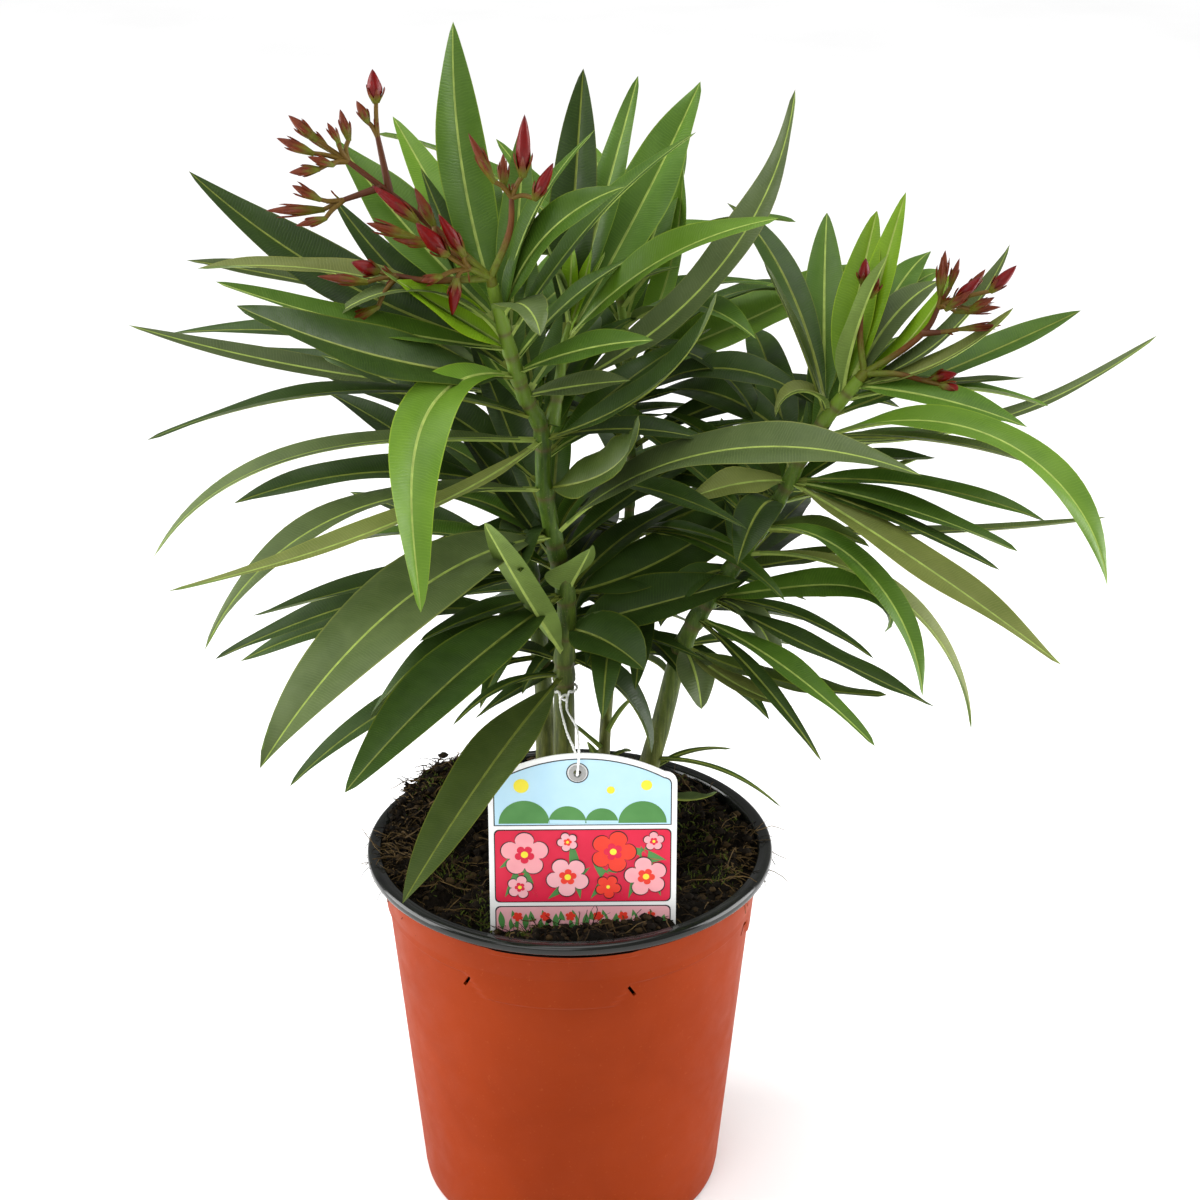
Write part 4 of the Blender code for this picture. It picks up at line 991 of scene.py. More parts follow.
def add_bud(book, foot, end, thick, draw):
    """A slender pointed bud of twisted petals that rises out of five pointed sepals."""
    ahead = unit(end - foot)
    length = np.linalg.norm(end - foot)
    side = unit(np.cross(ahead, (0.1, 0.2, 1)))
    up = np.cross(ahead, side)
    turns = np.arange(BUD_SIDES) * 2 * math.pi / BUD_SIDES
    rings, along = [], []
    wrapped = thick < OPENING_BUD
    spin = draw.uniform(0, 6.28)
    for i in range(BUD_ROWS):
        t = i / BUD_ROWS
        ridged = bud_radius(t, thick) * (1 + 0.08 * np.cos(SEPALS * (turns + spin) + 6 * t))
        rings.append(foot + ahead * length * t + np.outer(ridged * np.cos(turns), side)
                     + np.outer(ridged * np.sin(turns), up))
        along += [t] * BUD_SIDES
    points = np.concatenate(rings + [[foot], [end]])
    body = SEPAL if wrapped else PETAL
    book.add(points, tube_faces(BUD_ROWS, BUD_SIDES), body, along=np.array(along + [0, 1]))
    reach = length * draw.uniform(*(WRAPPED_REACH if wrapped else OPENING_REACH))
    for k in range(SEPALS):
        turn = spin + k * 2 * math.pi / SEPALS
        out = math.cos(turn) * side + math.sin(turn) * up
        add_sepal(book, foot, ahead, out, reach * draw.uniform(0.85, 1.1), thick, draw.uniform(-0.05, 0.1))


def add_sepal(book, foot, ahead, out, reach, thick, spread_out):
    """A narrow pointed sepal that hugs the bud and stands off a little at its tip."""
    flat = np.cross(ahead, out)
    rings, along = [], []
    for i in range(SEPAL_ROWS):
        t = i / SEPAL_ROWS
        away = thick / 2 * (0.32 + 0.72 * math.sin(math.pi / 2 * min(1, 1.15 * t)) ** 1.2)
        away += spread_out * thick * t * t
        half = 0.30 * thick * (1 - t) ** 0.7 * (0.6 + 0.4 * min(1, 3 * t))
        centre = foot + ahead * reach * t
        rings += [centre + out * (away - 0.25) - flat * half, centre + out * (away + 0.28),
                  centre + out * (away - 0.25) + flat * half, centre + out * (away - 0.45)]
        along += [t] * 4
    end = foot + ahead * reach + out * thick / 2 * (1.0 + 2 * spread_out)
    points = np.concatenate([rings, [foot], [end]])
    book.add(points, tube_faces(SEPAL_ROWS, 4), SEPAL, along=np.array(along + [0, 1]))


def build_bud_head(side):
    """Branching red-brown stalks with bracts at the forks, and buds in their sepals."""
    book = Book("along")
    draw = random.Random(len(side))
    tip = stem_point(side, STEMS[side][0][-1][2])
    upward = unit(tip - stem_point(side, tip[2] - 3))
    start = tip + upward * 0.39
    thick = stem_radius(side, tip[2])
    crown, faces = tube(np.array([start - upward, start + upward * 2, start + upward * 4]),
                        (thick, thick * 1.02, thick * 0.72), 14)
    book.add(crown, faces, STALK, along=0.3)
    base = start + upward * 2.5
    for places, buds in BUD_HEADS[side]:
        line = base + smooth_line(places, 6)
        branch, faces = tube(line, np.linspace(1.5, 0.95, len(line)), 9)
        far = np.linalg.norm(line - base, axis=1) / 30
        far = np.append(np.repeat(far, 9), [far[0], far[-1]])
        book.add(branch, faces, STALK, along=np.clip(far, 0, 1))
        fork, before = line[-1], unit(line[-1] - line[-2])
        for foot, end, bulk in buds:
            foot, end = base + foot, base + end
            ahead = unit(end - foot)
            neck = smooth_line([fork - before, (fork + foot) / 2 + before * 0.8, foot + ahead * 0.6], 4)
            stalk, faces = tube(neck, np.linspace(0.95, 0.85, len(neck)), 8)
            book.add(stalk, faces, STALK, along=0.5)
            add_bud(book, foot, end, bulk, draw)
            aside = unit(np.cross(ahead, (draw.uniform(-1, 1), draw.uniform(-1, 1), 0.3)))
            bract = unit(ahead + 0.7 * aside)
            out = unit(np.cross(bract, np.cross(ahead, bract)))
            add_sepal(book, fork, bract, out, draw.uniform(4, 6), 2.4, 0.1)
    piece = book.piece("flower_buds_" + side, [BUD_PETAL, BUD_SEPAL, BUD_STALK], 60)
    settle(piece, "buds", "buds_" + side)


# ---------------------------------------------------------------- pot

POT_SIDES = 256
# The moulded step round the wall, the short ledge under the lip at the front, and the round dimples.
STEP_HIGH = 136
STEP_DROP = 10
STEP_OUT = 0.9
LEDGE_HEADING = -92
LEDGE_SPAN = 22
LEDGE_HEIGHT = 150.5
LEDGE_OUT = 0.8
PIP_HEADINGS = (-14, 188, 90)
PIP_HEIGHT = 146
PIP_RADIUS = 1.8
PIP_DEPTH = 1.6
SLIT_SIZE = (8, 1.3, 6)
FOOT_ROUND = 3


def wall_radius(z):
    """The wall's outer radius: a long taper up to the shoulder, then a flared collar."""
    heights = (0, SHOULDER_HEIGHT, POT_HEIGHT - RIM_HEIGHT)
    return float(np.interp(z, heights, (BASE_RADIUS, SHOULDER_RADIUS, COLLAR_RADIUS)))


def lathe(name, profile, materials, slots, angle=40):
    """A closed ring turned from a closed profile of (radius, height)."""
    count = len(profile)
    points, faces, chosen = [], [], []
    for i in range(POT_SIDES):
        points += [around(2 * math.pi * i / POT_SIDES, r, z) for r, z in profile]
        for k in range(count):
            n = (k + 1) % count
            a, b = i * count, ((i + 1) % POT_SIDES) * count
            faces.append((a + k, b + k, b + n, a + n))
            chosen.append(slots[k] if isinstance(slots, list) else slots)
    book = Book()
    book.add(points, faces, chosen)
    return book.piece(name, materials, angle)


def shoulder_line(turn):
    """Height of the moulded step: it drops between the slits of each pair."""
    place = (turn - SLIT_FIRST) % 360 / (360 / SLITS)
    paired = place < SLITS - 1 and int(place) % 2 == 0
    inward = min(place % 1, 1 - place % 1) if paired else 0
    return STEP_HIGH - STEP_DROP * min(1.0, inward / 0.11)


def moulded_relief(turn, z):
    """How far the wall stands out over its plain taper."""
    collar = STEP_OUT * within((z - shoulder_line(turn)) / 0.7 + 0.5)
    ledge = LEDGE_OUT * within((z - LEDGE_HEIGHT) / 0.6)
    return collar + ledge * within((LEDGE_SPAN - turn_between(turn, LEDGE_HEADING)) / 3)


def pot_profile():
    """The wall's closed profile, from the floor's middle up the inside and down the outside."""
    top = POT_HEIGHT - RIM_HEIGHT
    corner = [(BASE_RADIUS - FOOT_ROUND * (1 - math.cos(a)), FOOT_ROUND * (1 - math.sin(a)))
              for a in np.radians([15, 30, 45, 60, 75, 90])]
    heights = np.concatenate([np.arange(top, 118, -0.5), np.arange(118, 4, -2)])
    outer = [(wall_radius(z), z) for z in heights]
    inner = [(wall_radius(z) - WALL, z) for z in [*np.arange(FLOOR + 2, top, 6), top]]
    return [(1, FLOOR), (BASE_RADIUS - WALL - 1, FLOOR)] + inner + outer + corner + [(1, 0)], len(inner)


def cut_away(obj, tools):
    """Cuts the tools out of the piece and applies the cut."""
    group = bpy.data.collections.new("tools")
    bpy.context.scene.collection.children.link(group)
    for tool in tools:
        for old in tool.users_collection:
            old.objects.unlink(tool)
        group.objects.link(tool)
    cut = obj.modifiers.new("cut", "BOOLEAN")
    cut.operation = "DIFFERENCE"
    cut.operand_type = "COLLECTION"
    cut.collection = group
    cut.solver = "EXACT"
    bpy.context.view_layer.update()
    graph = bpy.context.evaluated_depsgraph_get()
    solid = bpy.data.meshes.new_from_object(obj.evaluated_get(graph))
    obj.modifiers.clear()
    obj.data = solid
    for tool in tools:
        bpy.data.objects.remove(tool, do_unlink=True)
    bpy.data.collections.remove(group)


def wall_tool(heading, height, tilt):
    """The new primitive, which lies across the wall at a heading and a height, as a cutting tool."""
    turn = math.radians(heading)
    place = Matrix.Translation(Vector(around(turn, wall_radius(height), height)) * MM)
    tool = bpy.context.object
    tool.data.transform(place @ Matrix.Rotation(turn, 4, "Z") @ tilt)
    return tool


def pot_tools():
    """What is cut from the pot: slanted slits and round dimples in the wall, and drain holes."""
    tools = []
    for i in range(SLITS):
        slant = math.radians(SLIT_SLANT if i % 2 else -SLIT_SLANT)
        size = Matrix.Diagonal((*(side * MM for side in SLIT_SIZE), 1))
        bpy.ops.mesh.primitive_cube_add(size=1)
        tilt = Matrix.Rotation(slant, 4, "X") @ size
        tools.append(wall_tool(SLIT_FIRST + 360 * i / SLITS, SLIT_HEIGHT, tilt))
    for heading in PIP_HEADINGS:
        bpy.ops.mesh.primitive_cylinder_add(vertices=20, radius=PIP_RADIUS * MM, depth=PIP_DEPTH * MM)
        tools.append(wall_tool(heading, PIP_HEIGHT, Matrix.Rotation(math.pi / 2, 4, "Y")))
    for i in range(DRAIN_HOLES):
        place = Vector(around(2 * math.pi * (i + 0.5) / DRAIN_HOLES, DRAIN_CIRCLE)) * MM
        bpy.ops.mesh.primitive_cylinder_add(vertices=32, radius=DRAIN_RADIUS * MM, depth=12 * MM,
                                            location=place)
        tools.append(bpy.context.object)
    return tools


def build_pot():
    """The turned wall, moulded out above the shoulder and cut through by its slits and holes."""
    profile, inner = pot_profile()
    slots = [1] * (inner + 2) + [0] * (len(profile) - inner - 2)
    pot = lathe("pot_wall", profile, [TERRACOTTA, DARK_PLASTIC], slots)
    for vertex in pot.data.vertices:
        x, y, z = vertex.co / MM
        radius = math.hypot(x, y)
        if radius > wall_radius(z) - 0.3 and z > 110:
            out = 1 + moulded_relief(math.degrees(math.atan2(y, x)), z) / radius
            vertex.co = Vector((x * out, y * out, z)) * MM
    cut_away(pot, pot_tools())
    pot.data.set_sharp_from_angle(angle=math.radians(40))
    settle(pot, "terracotta_plastic", "pot")


LIP_HEIGHT = 4.1
LIP_ROUND = 2.0


def build_rim():
    """The rolled lip: a rounded bead with a flat inner shoulder and a fine groove."""
    seat = POT_HEIGHT - RIM_HEIGHT + 0.3
    inside = COLLAR_RADIUS - WALL
    middle, level = RIM_RADIUS - LIP_ROUND, POT_HEIGHT - LIP_ROUND
    outer = [(middle + LIP_ROUND * math.sin(a), level + LIP_ROUND * math.cos(a))
             for a in np.radians(np.arange(0, 91, 11.25))]
    under = POT_HEIGHT - LIP_HEIGHT
    lower = [(RIM_RADIUS, under + 0.8), (RIM_RADIUS - 0.4, under + 0.2), (RIM_RADIUS - 1.4, under),
             (COLLAR_RADIUS + 0.3, under + 0.2), (COLLAR_RADIUS + 0.2, seat), (inside, seat)]
    groove = ((0, 2.2), (0.5, 1.0), (1.2, 0.35), (2.1, 0.5), (2.6, 0.1))
    inner = [(inside + out, POT_HEIGHT - down) for out, down in groove]
    ring = lathe("pot_lip", inner + outer + lower, [DARK_PLASTIC], 0, 55)
    settle(ring, "dark_plastic", "pot_rim")


# ---------------------------------------------------------------- peat

def feet():
    """Where the stems stand on the peat."""
    return [STEMS[name][0][0] for name in GROUNDED]


def soil_height(x, y):
    """Peat level: a mound at the back left, a shallow roll, and a flat pad under each stem."""
    dx = (x - MOUND_PLACE[0]) / MOUND_SPREAD
    dy = (y - MOUND_PLACE[1]) / MOUND_SPREAD
    level = SOIL_LEVEL + SOIL_MOUND * math.exp(-dx * dx - dy * dy)
    level += 0.8 * math.sin(x / 9) * math.cos(y / 11)
    for foot in feet():
        near = math.hypot(x - foot[0], y - foot[1])
        blend = within((near - 5) / 8)
        level = (foot[2] - 0.3) * (1 - blend) + level * blend
    return level


# The heap towards the rim: its rise, where it starts and over how far it climbs, and the hollow in
# it at the front left, which has a heading, a half width and a stretch over which it ends.
HEAP_RISE = 6.5
HEAP_START = 46
HEAP_CLIMB = 26
HOLLOW_HEADING = 226
HOLLOW_HALF = 14
HOLLOW_END = 18
# Lumps: how high they stand and how wide they are, the coarse ones first.
LUMPS = (4.2, 11)
GRAINS = (1.0, 1.3)


def rough_height(x, y):
    """The peat's surface with its lumps and hollows, heaped towards the rim but for the front left."""
    place = Vector((x, y, 0))
    lumps = LUMPS[0] * noise.fractal(place / LUMPS[1], 0.45, 2.1, 5)
    lumps += GRAINS[0] * noise.noise(place / GRAINS[1])
    clear = min(1.0, min(math.hypot(x - f[0], y - f[1]) for f in feet()) / 12)
    apart = turn_between(math.degrees(math.atan2(y, x)), HOLLOW_HEADING)
    outward = within((math.hypot(x, y) - HEAP_START) / HEAP_CLIMB)
    heap = HEAP_RISE * outward * outward * (3 - 2 * outward) * within((apart - HOLLOW_HALF) / HOLLOW_END)
    mound = math.exp(-((x - MOUND_PLACE[0]) ** 2 + (y - MOUND_PLACE[1]) ** 2) / 900)
    return soil_height(x, y) + lumps * clear + heap * (1 - 0.15 * mound)


# The peat's mesh: its rings and spokes, its edge, where it starts to fall to the wall, the highest
# that it may stand, and the foot of its hidden underside.
PEAT_RINGS = 84
PEAT_SPOKES = 250
PEAT_EDGE = 78.2
PEAT_FALL = 74
PEAT_TOP = 168
PEAT_UNDERSIDE = (76, 138)


def build_peat():
    """The rough surface of the peat, closed underneath."""
    rings, spokes = PEAT_RINGS, PEAT_SPOKES
    turns = [2 * math.pi * k / spokes for k in range(spokes)]
    points = [(0, 0, rough_height(0, 0))]
    for i in range(1, rings + 1):
        radius = PEAT_EDGE * (i / rings) ** 0.9
        fall = 1.5 * max(0.0, (radius - PEAT_FALL) / 3.5)
        for turn in turns:
            x, y, _ = around(turn, radius)
            points.append((x, y, min(rough_height(x, y), PEAT_TOP) - fall))
    low = len(points)
    points += [around(turn, *PEAT_UNDERSIDE) for turn in turns]
    points.append((0, 0, PEAT_UNDERSIDE[1]))

    def spot(i, k):
        return 1 + (i - 1) * spokes + k % spokes

    faces = [(0, spot(1, k), spot(1, k + 1)) for k in range(spokes)]
    for i in range(1, rings):
        faces += [(spot(i, k), spot(i + 1, k), spot(i + 1, k + 1), spot(i, k + 1)) for k in range(spokes)]
    faces += [(spot(rings, k), low + k, low + (k + 1) % spokes, spot(rings, k + 1)) for k in range(spokes)]
    faces += [(low + spokes, low + (k + 1) % spokes, low + k) for k in range(spokes)]
    book = Book()
    book.add(points, faces, 0)
    settle(book.piece("peat_surface", [PEAT], 80), "peat", "soil")


def scatter_point(draw, reach):
    """A place on the peat, drawn evenly over a disc."""
    radius = reach * math.sqrt(draw.random())
    x, y, _ = around(draw.uniform(0, 2 * math.pi), radius)
    return x, y


FIBRE_STEPS = 5


def fibre(book, start, heading, length, radius, slot, draw, rise=0.0, sag=0.5, sides=3):
    """A thin bent strand that starts at a point and wanders."""
    line = [np.array(start, float)]
    turn, lift = heading, rise
    for _ in range(FIBRE_STEPS):
        turn += draw.uniform(-28, 28)
        lift += draw.uniform(-16, 16) - 40 * sag / FIBRE_STEPS
        line.append(line[-1] + direction(turn, lift) * length / FIBRE_STEPS)
    points, faces = tube(line, np.linspace(radius, radius * 0.45, FIBRE_STEPS + 1), sides)
    book.add(points, faces, slot)


def crumb(book, place, size, slot, draw):
    """A lump of peat: a squashed six-sided stone with random corners."""
    rings = []
    for lift, wide in ((-0.35, 0.75), (0.05, 1.0), (0.45, 0.6)):
        for k in range(6):
            turn = k * math.pi / 3 + draw.uniform(-0.3, 0.3)
            reach = size * wide * draw.uniform(0.7, 1.15)
            rings.append(around(turn, reach, size * lift * 0.8))
    points = np.array(rings + [(0, 0, -0.6 * size), (0, 0, 0.7 * size)]) + place
    book.add(points, tube_faces(3, 6), slot)


LITTER_SEED = 23
CRUMB_COUNT = 3200
FIBRE_COUNT = 1700
STRAW_COUNT = 360
# How far from the pot's axis crumbs and straw may lie, then fibres, then moss.
CRUMB_REACH = 77
FIBRE_REACH = 74
MOSS_REACH = 75
# The height over which the tufts at the rim start.
TUFT_LEVEL = 156.5
# Clumps of peat heaped against the rim at the back left.
CLUMP_SEED = 41
CLUMP_COUNT = 560
CLUMP_HEADING = (125, 205)
CLUMP_REACH = (64, 79)
CLUMP_SIZE = (0.6, 1.9)
CLUMP_TOP = 166
# Moss: where each patch is, how many shoots it has and how wide it spreads.
MOSS_SPOTS = ((-32, -46, 260, 8), (-52, -14, 160, 7), (52, 14, 240, 10), (58, -24, 160, 8),
              (-58, 34, 130, 7), (34, 30, 120, 8), (-20, -62, 120, 6), (42, 50, 110, 8))
# Tufts of straw on the rim: heading, strands, their length, and how far they fan out.
RIM_TUFTS = ((190, 64, 19, 60), (178, 44, 17, 70), (350, 36, 19, 70), (336, 20, 16, 80), (6, 20, 17, 70),
             (142, 26, 12, 80), (262, 10, 8, 80), (298, 8, 8, 80), (110, 16, 10, 80))


def scatter_litter(draw, dark, straw, moss):
    """Crumbs, dark fibres, straw and moss on the peat, and the tufts that hang over the rim."""
    for _ in range(CRUMB_COUNT):
        x, y = scatter_point(draw, CRUMB_REACH)
        size = 0.5 + 2.1 * draw.random() ** 2.2
        place = np.array([x, y, rough_height(x, y) + 0.3 * size])
        crumb(dark, place, size, draw.choice([0, 0, 1]), draw)
    for _ in range(FIBRE_COUNT):
        x, y = scatter_point(draw, FIBRE_REACH)
        fibre(dark, (x, y, rough_height(x, y) + 0.3), draw.uniform(0, 360), draw.uniform(4, 13),
              draw.uniform(0.16, 0.36), draw.choice([0, 1, 1]), draw, draw.uniform(0, 45), 0.9)
    for _ in range(STRAW_COUNT):
        x, y = scatter_point(draw, CRUMB_REACH)
        fibre(straw, (x, y, rough_height(x, y) + 0.4), draw.uniform(0, 360), draw.uniform(5, 16),
              draw.uniform(0.16, 0.4), 0, draw, draw.uniform(0, 40), 0.9)
    for centre_x, centre_y, count, wide in MOSS_SPOTS:
        for _ in range(count):
            x, y = centre_x + draw.gauss(0, wide), centre_y + draw.gauss(0, wide)
            if math.hypot(x, y) < MOSS_REACH:
                fibre(moss, (x, y, rough_height(x, y)), draw.uniform(0, 360), draw.uniform(1.6, 3.8),
                      draw.uniform(0.2, 0.42), 0, draw, draw.uniform(35, 85), 0.6)
    for heading, count, reach, lean in RIM_TUFTS:
        for _ in range(count):
            turn = heading + draw.gauss(0, 6)
            x, y, _ = direction(turn, 0) * draw.uniform(62, 78)
            start = (x, y, max(rough_height(x, y), TUFT_LEVEL) + draw.uniform(0, 2))
            fibre(draw.choice([straw, straw, dark]), start, turn + draw.uniform(-lean, lean),
                  reach * draw.uniform(0.4, 1), draw.uniform(0.15, 0.4), 0, draw, draw.uniform(0, 35), 1.5, 4)


def heap_clumps(draw, heap, straw):
    """The clumps of peat and fibre against the rim."""
    for _ in range(CLUMP_COUNT):
        x, y, _ = direction(draw.uniform(*CLUMP_HEADING), 0) * draw.uniform(*CLUMP_REACH)
        size = draw.uniform(*CLUMP_SIZE)
        level = min(rough_height(x, y), CLUMP_TOP) + draw.uniform(0, 2.2)
        crumb(heap, np.array([x, y, level]), size, draw.choice([0, 0, 1]), draw)
        fibre(draw.choice([heap, heap, straw]), (x, y, level + 0.3 * size), draw.uniform(0, 360),
              draw.uniform(3, 9), draw.uniform(0.2, 0.45), 0, draw, draw.uniform(0, 50), 1.1, 4)


def build_litter():
    """All that lies on the peat, each kind as a piece."""
    dark, heap, straw, moss = Book(), Book(), Book(), Book()
    scatter_litter(random.Random(LITTER_SEED), dark, straw, moss)
    heap_clumps(random.Random(CLUMP_SEED), heap, straw)
    pieces = (("peat_crumbs", dark, [PEAT_CRUMB, PEAT_FIBRE]), ("peat_clumps", heap, [PEAT_CRUMB, PEAT_FIBRE]),
              ("peat_straw", straw, [STRAW]), ("peat_moss", moss, [MOSS]))
    for name, book, materials in pieces:
        settle(book.piece(name, materials, 80), "peat", "soil")


EARTH_GLOSS = 0.12


def earth_material(name, low, high, scale, rough, bump):
    """Dull and grainy: peat, straw or moss."""
    made, tree, shader = new_material(name)
    cloud = spread(tree, speckle(tree, scale, 5, 0.65, 0.3), 0.3, 0.7)
    grain = spread(tree, speckle(tree, scale * 6, 3, 0.7), 0.3, 0.75)
    colour = mixed(tree, cloud, low, high)
    set_colour(tree, shader, mixed(tree, maths(tree, "MULTIPLY", grain, 0.5), colour, times(low, 0.35)))
    set_finish(tree, shader, rough, EARTH_GLOSS)
    bumped(tree, shader, grain, bump, 0.0008)
    return made


# ---------------------------------------------------------------- made things

TERRACOTTA_GLOSS = 0.07


def terracotta_material():
    """Matt moulded plastic with a faint mottle and pale scuffs."""
    made, tree, shader = new_material("terracotta_plastic")
    cloud = spread(tree, speckle(tree, 18, 5, 0.6, 0.6), 0.3, 0.7)
    colour = mixed(tree, cloud, (0.200, 0.0215, 0.0008), (0.238, 0.0280, 0.0022))
    specks = spread(tree, speckle(tree, 700, 2), 0.66, 0.74, 0, 0.35)
    colour = mixed(tree, specks, colour, (0.30, 0.065, 0.018))
    soot = spread(tree, speckle(tree, 260, 4, 0.7), 0.68, 0.78, 0, 0.45)
    colour = mixed(tree, soot, colour, (0.10, 0.012, 0.002))
    set_colour(tree, shader, colour)
    set_finish(tree, shader, spread(tree, speckle(tree, 90, 3), 0.3, 0.7, 0.48, 0.62), TERRACOTTA_GLOSS)
    bumped(tree, shader, speckle(tree, 1500, 2), 0.12, 0.0002)
    return made


def plastic_material(name, low, high, rough, gloss=0.5):
    """Smooth plastic or metal with a faint cloud in its colour and its shine."""
    made, tree, shader = new_material(name)
    cloud = spread(tree, speckle(tree, 60, 4, 0.6), 0.3, 0.7)
    set_colour(tree, shader, mixed(tree, cloud, low, high))
    set_finish(tree, shader, spread(tree, speckle(tree, 140, 4), 0.3, 0.7, rough, rough + 0.12), gloss)
    bumped(tree, shader, speckle(tree, 900, 2), 0.06, 0.0002)
    return made


def print_material(name, low, high):
    """Glossy ink with a faint unevenness."""
    made, tree, shader = new_material(name)
    cloud = spread(tree, speckle(tree, 60, 3, 0.6), 0.2, 0.8)
    set_colour(tree, shader, mixed(tree, cloud, low, high))
    set_finish(tree, shader, spread(tree, speckle(tree, 500, 2), 0.3, 0.7, 0.30, 0.40), LEAF_GLOSS)
    return made


# The card: its width, the height of its straight sides, the rise of its arched top, the round of its
# shoulders, its thickness, where its foot stands, how far it leans back and its eyelet.
LABEL_WIDTH = 74
LABEL_SIDE = 68.7
LABEL_ARCH = 11
LABEL_CORNER = 5
LABEL_THICK = 0.8
LABEL_FOOT = (5, -59, 150.5)
LABEL_LEAN = 2
EYELET_PLACE = (-2, 71.5)
EYELET_HOLE = 2.7
EYELET_CLEAR = 4.4
# The print: how thick each ink is, the width of its outlines and its margin on the card.
PRINT_RISE = 0.06
PRINT_LINE = 0.45
PRINT_MARGIN = 2.5
# Panels of the print as left, bottom, right and top, and the foot of the arched band above them.
FIELD = (-34.5, 15, 34.5, 46.5)
FOOT_BAND = (-34.5, 1.5, 34.5, 12.5)
BAND_FOOT = 46.5
# Hills as (left, width), suns as (x, y, radius), and drops as x.
HILLS = ((-33, 20), (-13.5, 15), (1, 13), (14, 19))
HILL_FOOT = 49.6
SUNS = ((-24, 66, 3.0), (11, 64, 1.6), (25, 66, 2.2))
DROPS = (-26, -15, -5, 6, 16, 27)
# Flowers of the field: centre, radius and turn. Its leaves: foot, heading, length and width.
LABEL_FLOWERS = ((-23, 36, 9.5, 18), (-6, 26, 8.5, 50), (12, 37, 9.0, 70), (25, 26, 8.5, 30),
                 (-25, 21.5, 5, 5), (10, 21.5, 5, 60), (28, 41.5, 4, 20), (-6, 41.5, 4, 40))
LABEL_LEAVES = (((-31, 17), 62, 24, 4), ((-18, 17), 118, 22, 4), ((-14, 16), 40, 22, 4),
                ((-1, 16), 98, 27, 4.4), ((3, 16), 55, 24, 4), ((16, 17), 128, 20, 4),
                ((18, 16), 72, 27, 4), ((31, 17), 110, 24, 4), ((-33, 30), 35, 16, 3.4),
                ((33, 33), 160, 18, 3.4))


def label_place():
    """The card's place in the plant: its print faces the front and its foot is in the peat."""
    foot = Vector(LABEL_FOOT) * MM
    return Matrix.Translation(foot) @ Matrix.Rotation(math.radians(90 - LABEL_LEAN), 4, "X")


def arc(centre, radius, start, end, steps):
    """Points along an arc, from one angle in degrees to another."""
    turns = np.radians(np.linspace(start, end, steps))
    return [(centre[0] + radius * math.cos(a), centre[1] + radius * math.sin(a)) for a in turns]


def label_outline(inset=0.0):
    """The card's outline: straight sides, rounded shoulders and an arched top."""
    half = LABEL_WIDTH / 2 - inset
    radius = ((LABEL_WIDTH / 2) ** 2 + LABEL_ARCH ** 2) / (2 * LABEL_ARCH)
    crown = LABEL_SIDE + LABEL_ARCH - radius
    corner = max(1.5, LABEL_CORNER - inset)
    span = math.degrees(math.asin((half - corner) / (radius - inset)))
    top = arc((0, crown), radius - inset, 90 - span, 90 + span, 25)
    shoulder = (half - corner, top[0][1] - corner)
    right = [(half, inset)] + arc(shoulder, corner, 0, 80, 7)
    return right + top + [(-x, y) for x, y in reversed(right)]


def flat_shape(name, outlines, thick, lift, material):
    """A flat piece of the label's card or print, cut to its outlines."""
    curve = bpy.data.curves.new(name, "CURVE")
    curve.dimensions = "2D"
    curve.fill_mode = "BOTH"
    curve.extrude = thick / 2 * MM
    for outline in outlines:
        spline = curve.splines.new("POLY")
        spline.points.add(len(outline) - 1)
        spline.use_cyclic_u = True
        for point, (x, y) in zip(spline.points, outline):
            point.co = (x * MM, y * MM, 0, 1)
    obj = bpy.data.objects.new(name, curve)
    bpy.context.scene.collection.objects.link(obj)
    curve.materials.append(material)
    bpy.context.view_layer.update()
    mesh = bpy.data.meshes.new_from_object(obj.evaluated_get(bpy.context.evaluated_depsgraph_get()))
    mesh.transform(label_place() @ Matrix.Translation((0, 0, lift * MM)))
    made = bpy.data.objects.new(name, mesh)
    bpy.context.scene.collection.objects.link(made)
    bpy.data.objects.remove(obj, do_unlink=True)
    made.name = name
    return made


def blossom(centre, size, turn):
    """The outline of a simple five-petalled flower."""
    outline = []
    for angle in range(0, 360, 6):
        a = math.radians(turn + angle)
        reach = size * (0.62 + 0.38 * abs(math.cos(2.5 * math.radians(angle))) ** 0.6)
        outline.append((centre[0] + reach * math.cos(a), centre[1] + reach * math.sin(a)))
    return outline


def lance(foot, heading, length, width):
    """The outline of a simple lance-shaped leaf."""
    turn = math.radians(heading)
    along = np.array([math.cos(turn), math.sin(turn)])
    across = np.array([-math.sin(turn), math.cos(turn)])
    shares = np.linspace(0, 1, 12)
    sides = [(1, t) for t in shares] + [(-1, t) for t in shares[-2:0:-1]]
    return [tuple(foot + along * length * t + side * across * width / 2 * math.sin(math.pi * t))
            for side, t in sides]


def panel(left, bottom, right, top, corner=2.0):
    """A rectangle with rounded corners."""
    outline = []
    for x, y, start in ((right, top, 0), (left, top, 90), (left, bottom, 180), (right, bottom, 270)):
        centre = (x - corner if x == right else x + corner, y - corner if y == top else y + corner)
        outline += arc(centre, corner, start, start + 90, 5)
    return outline


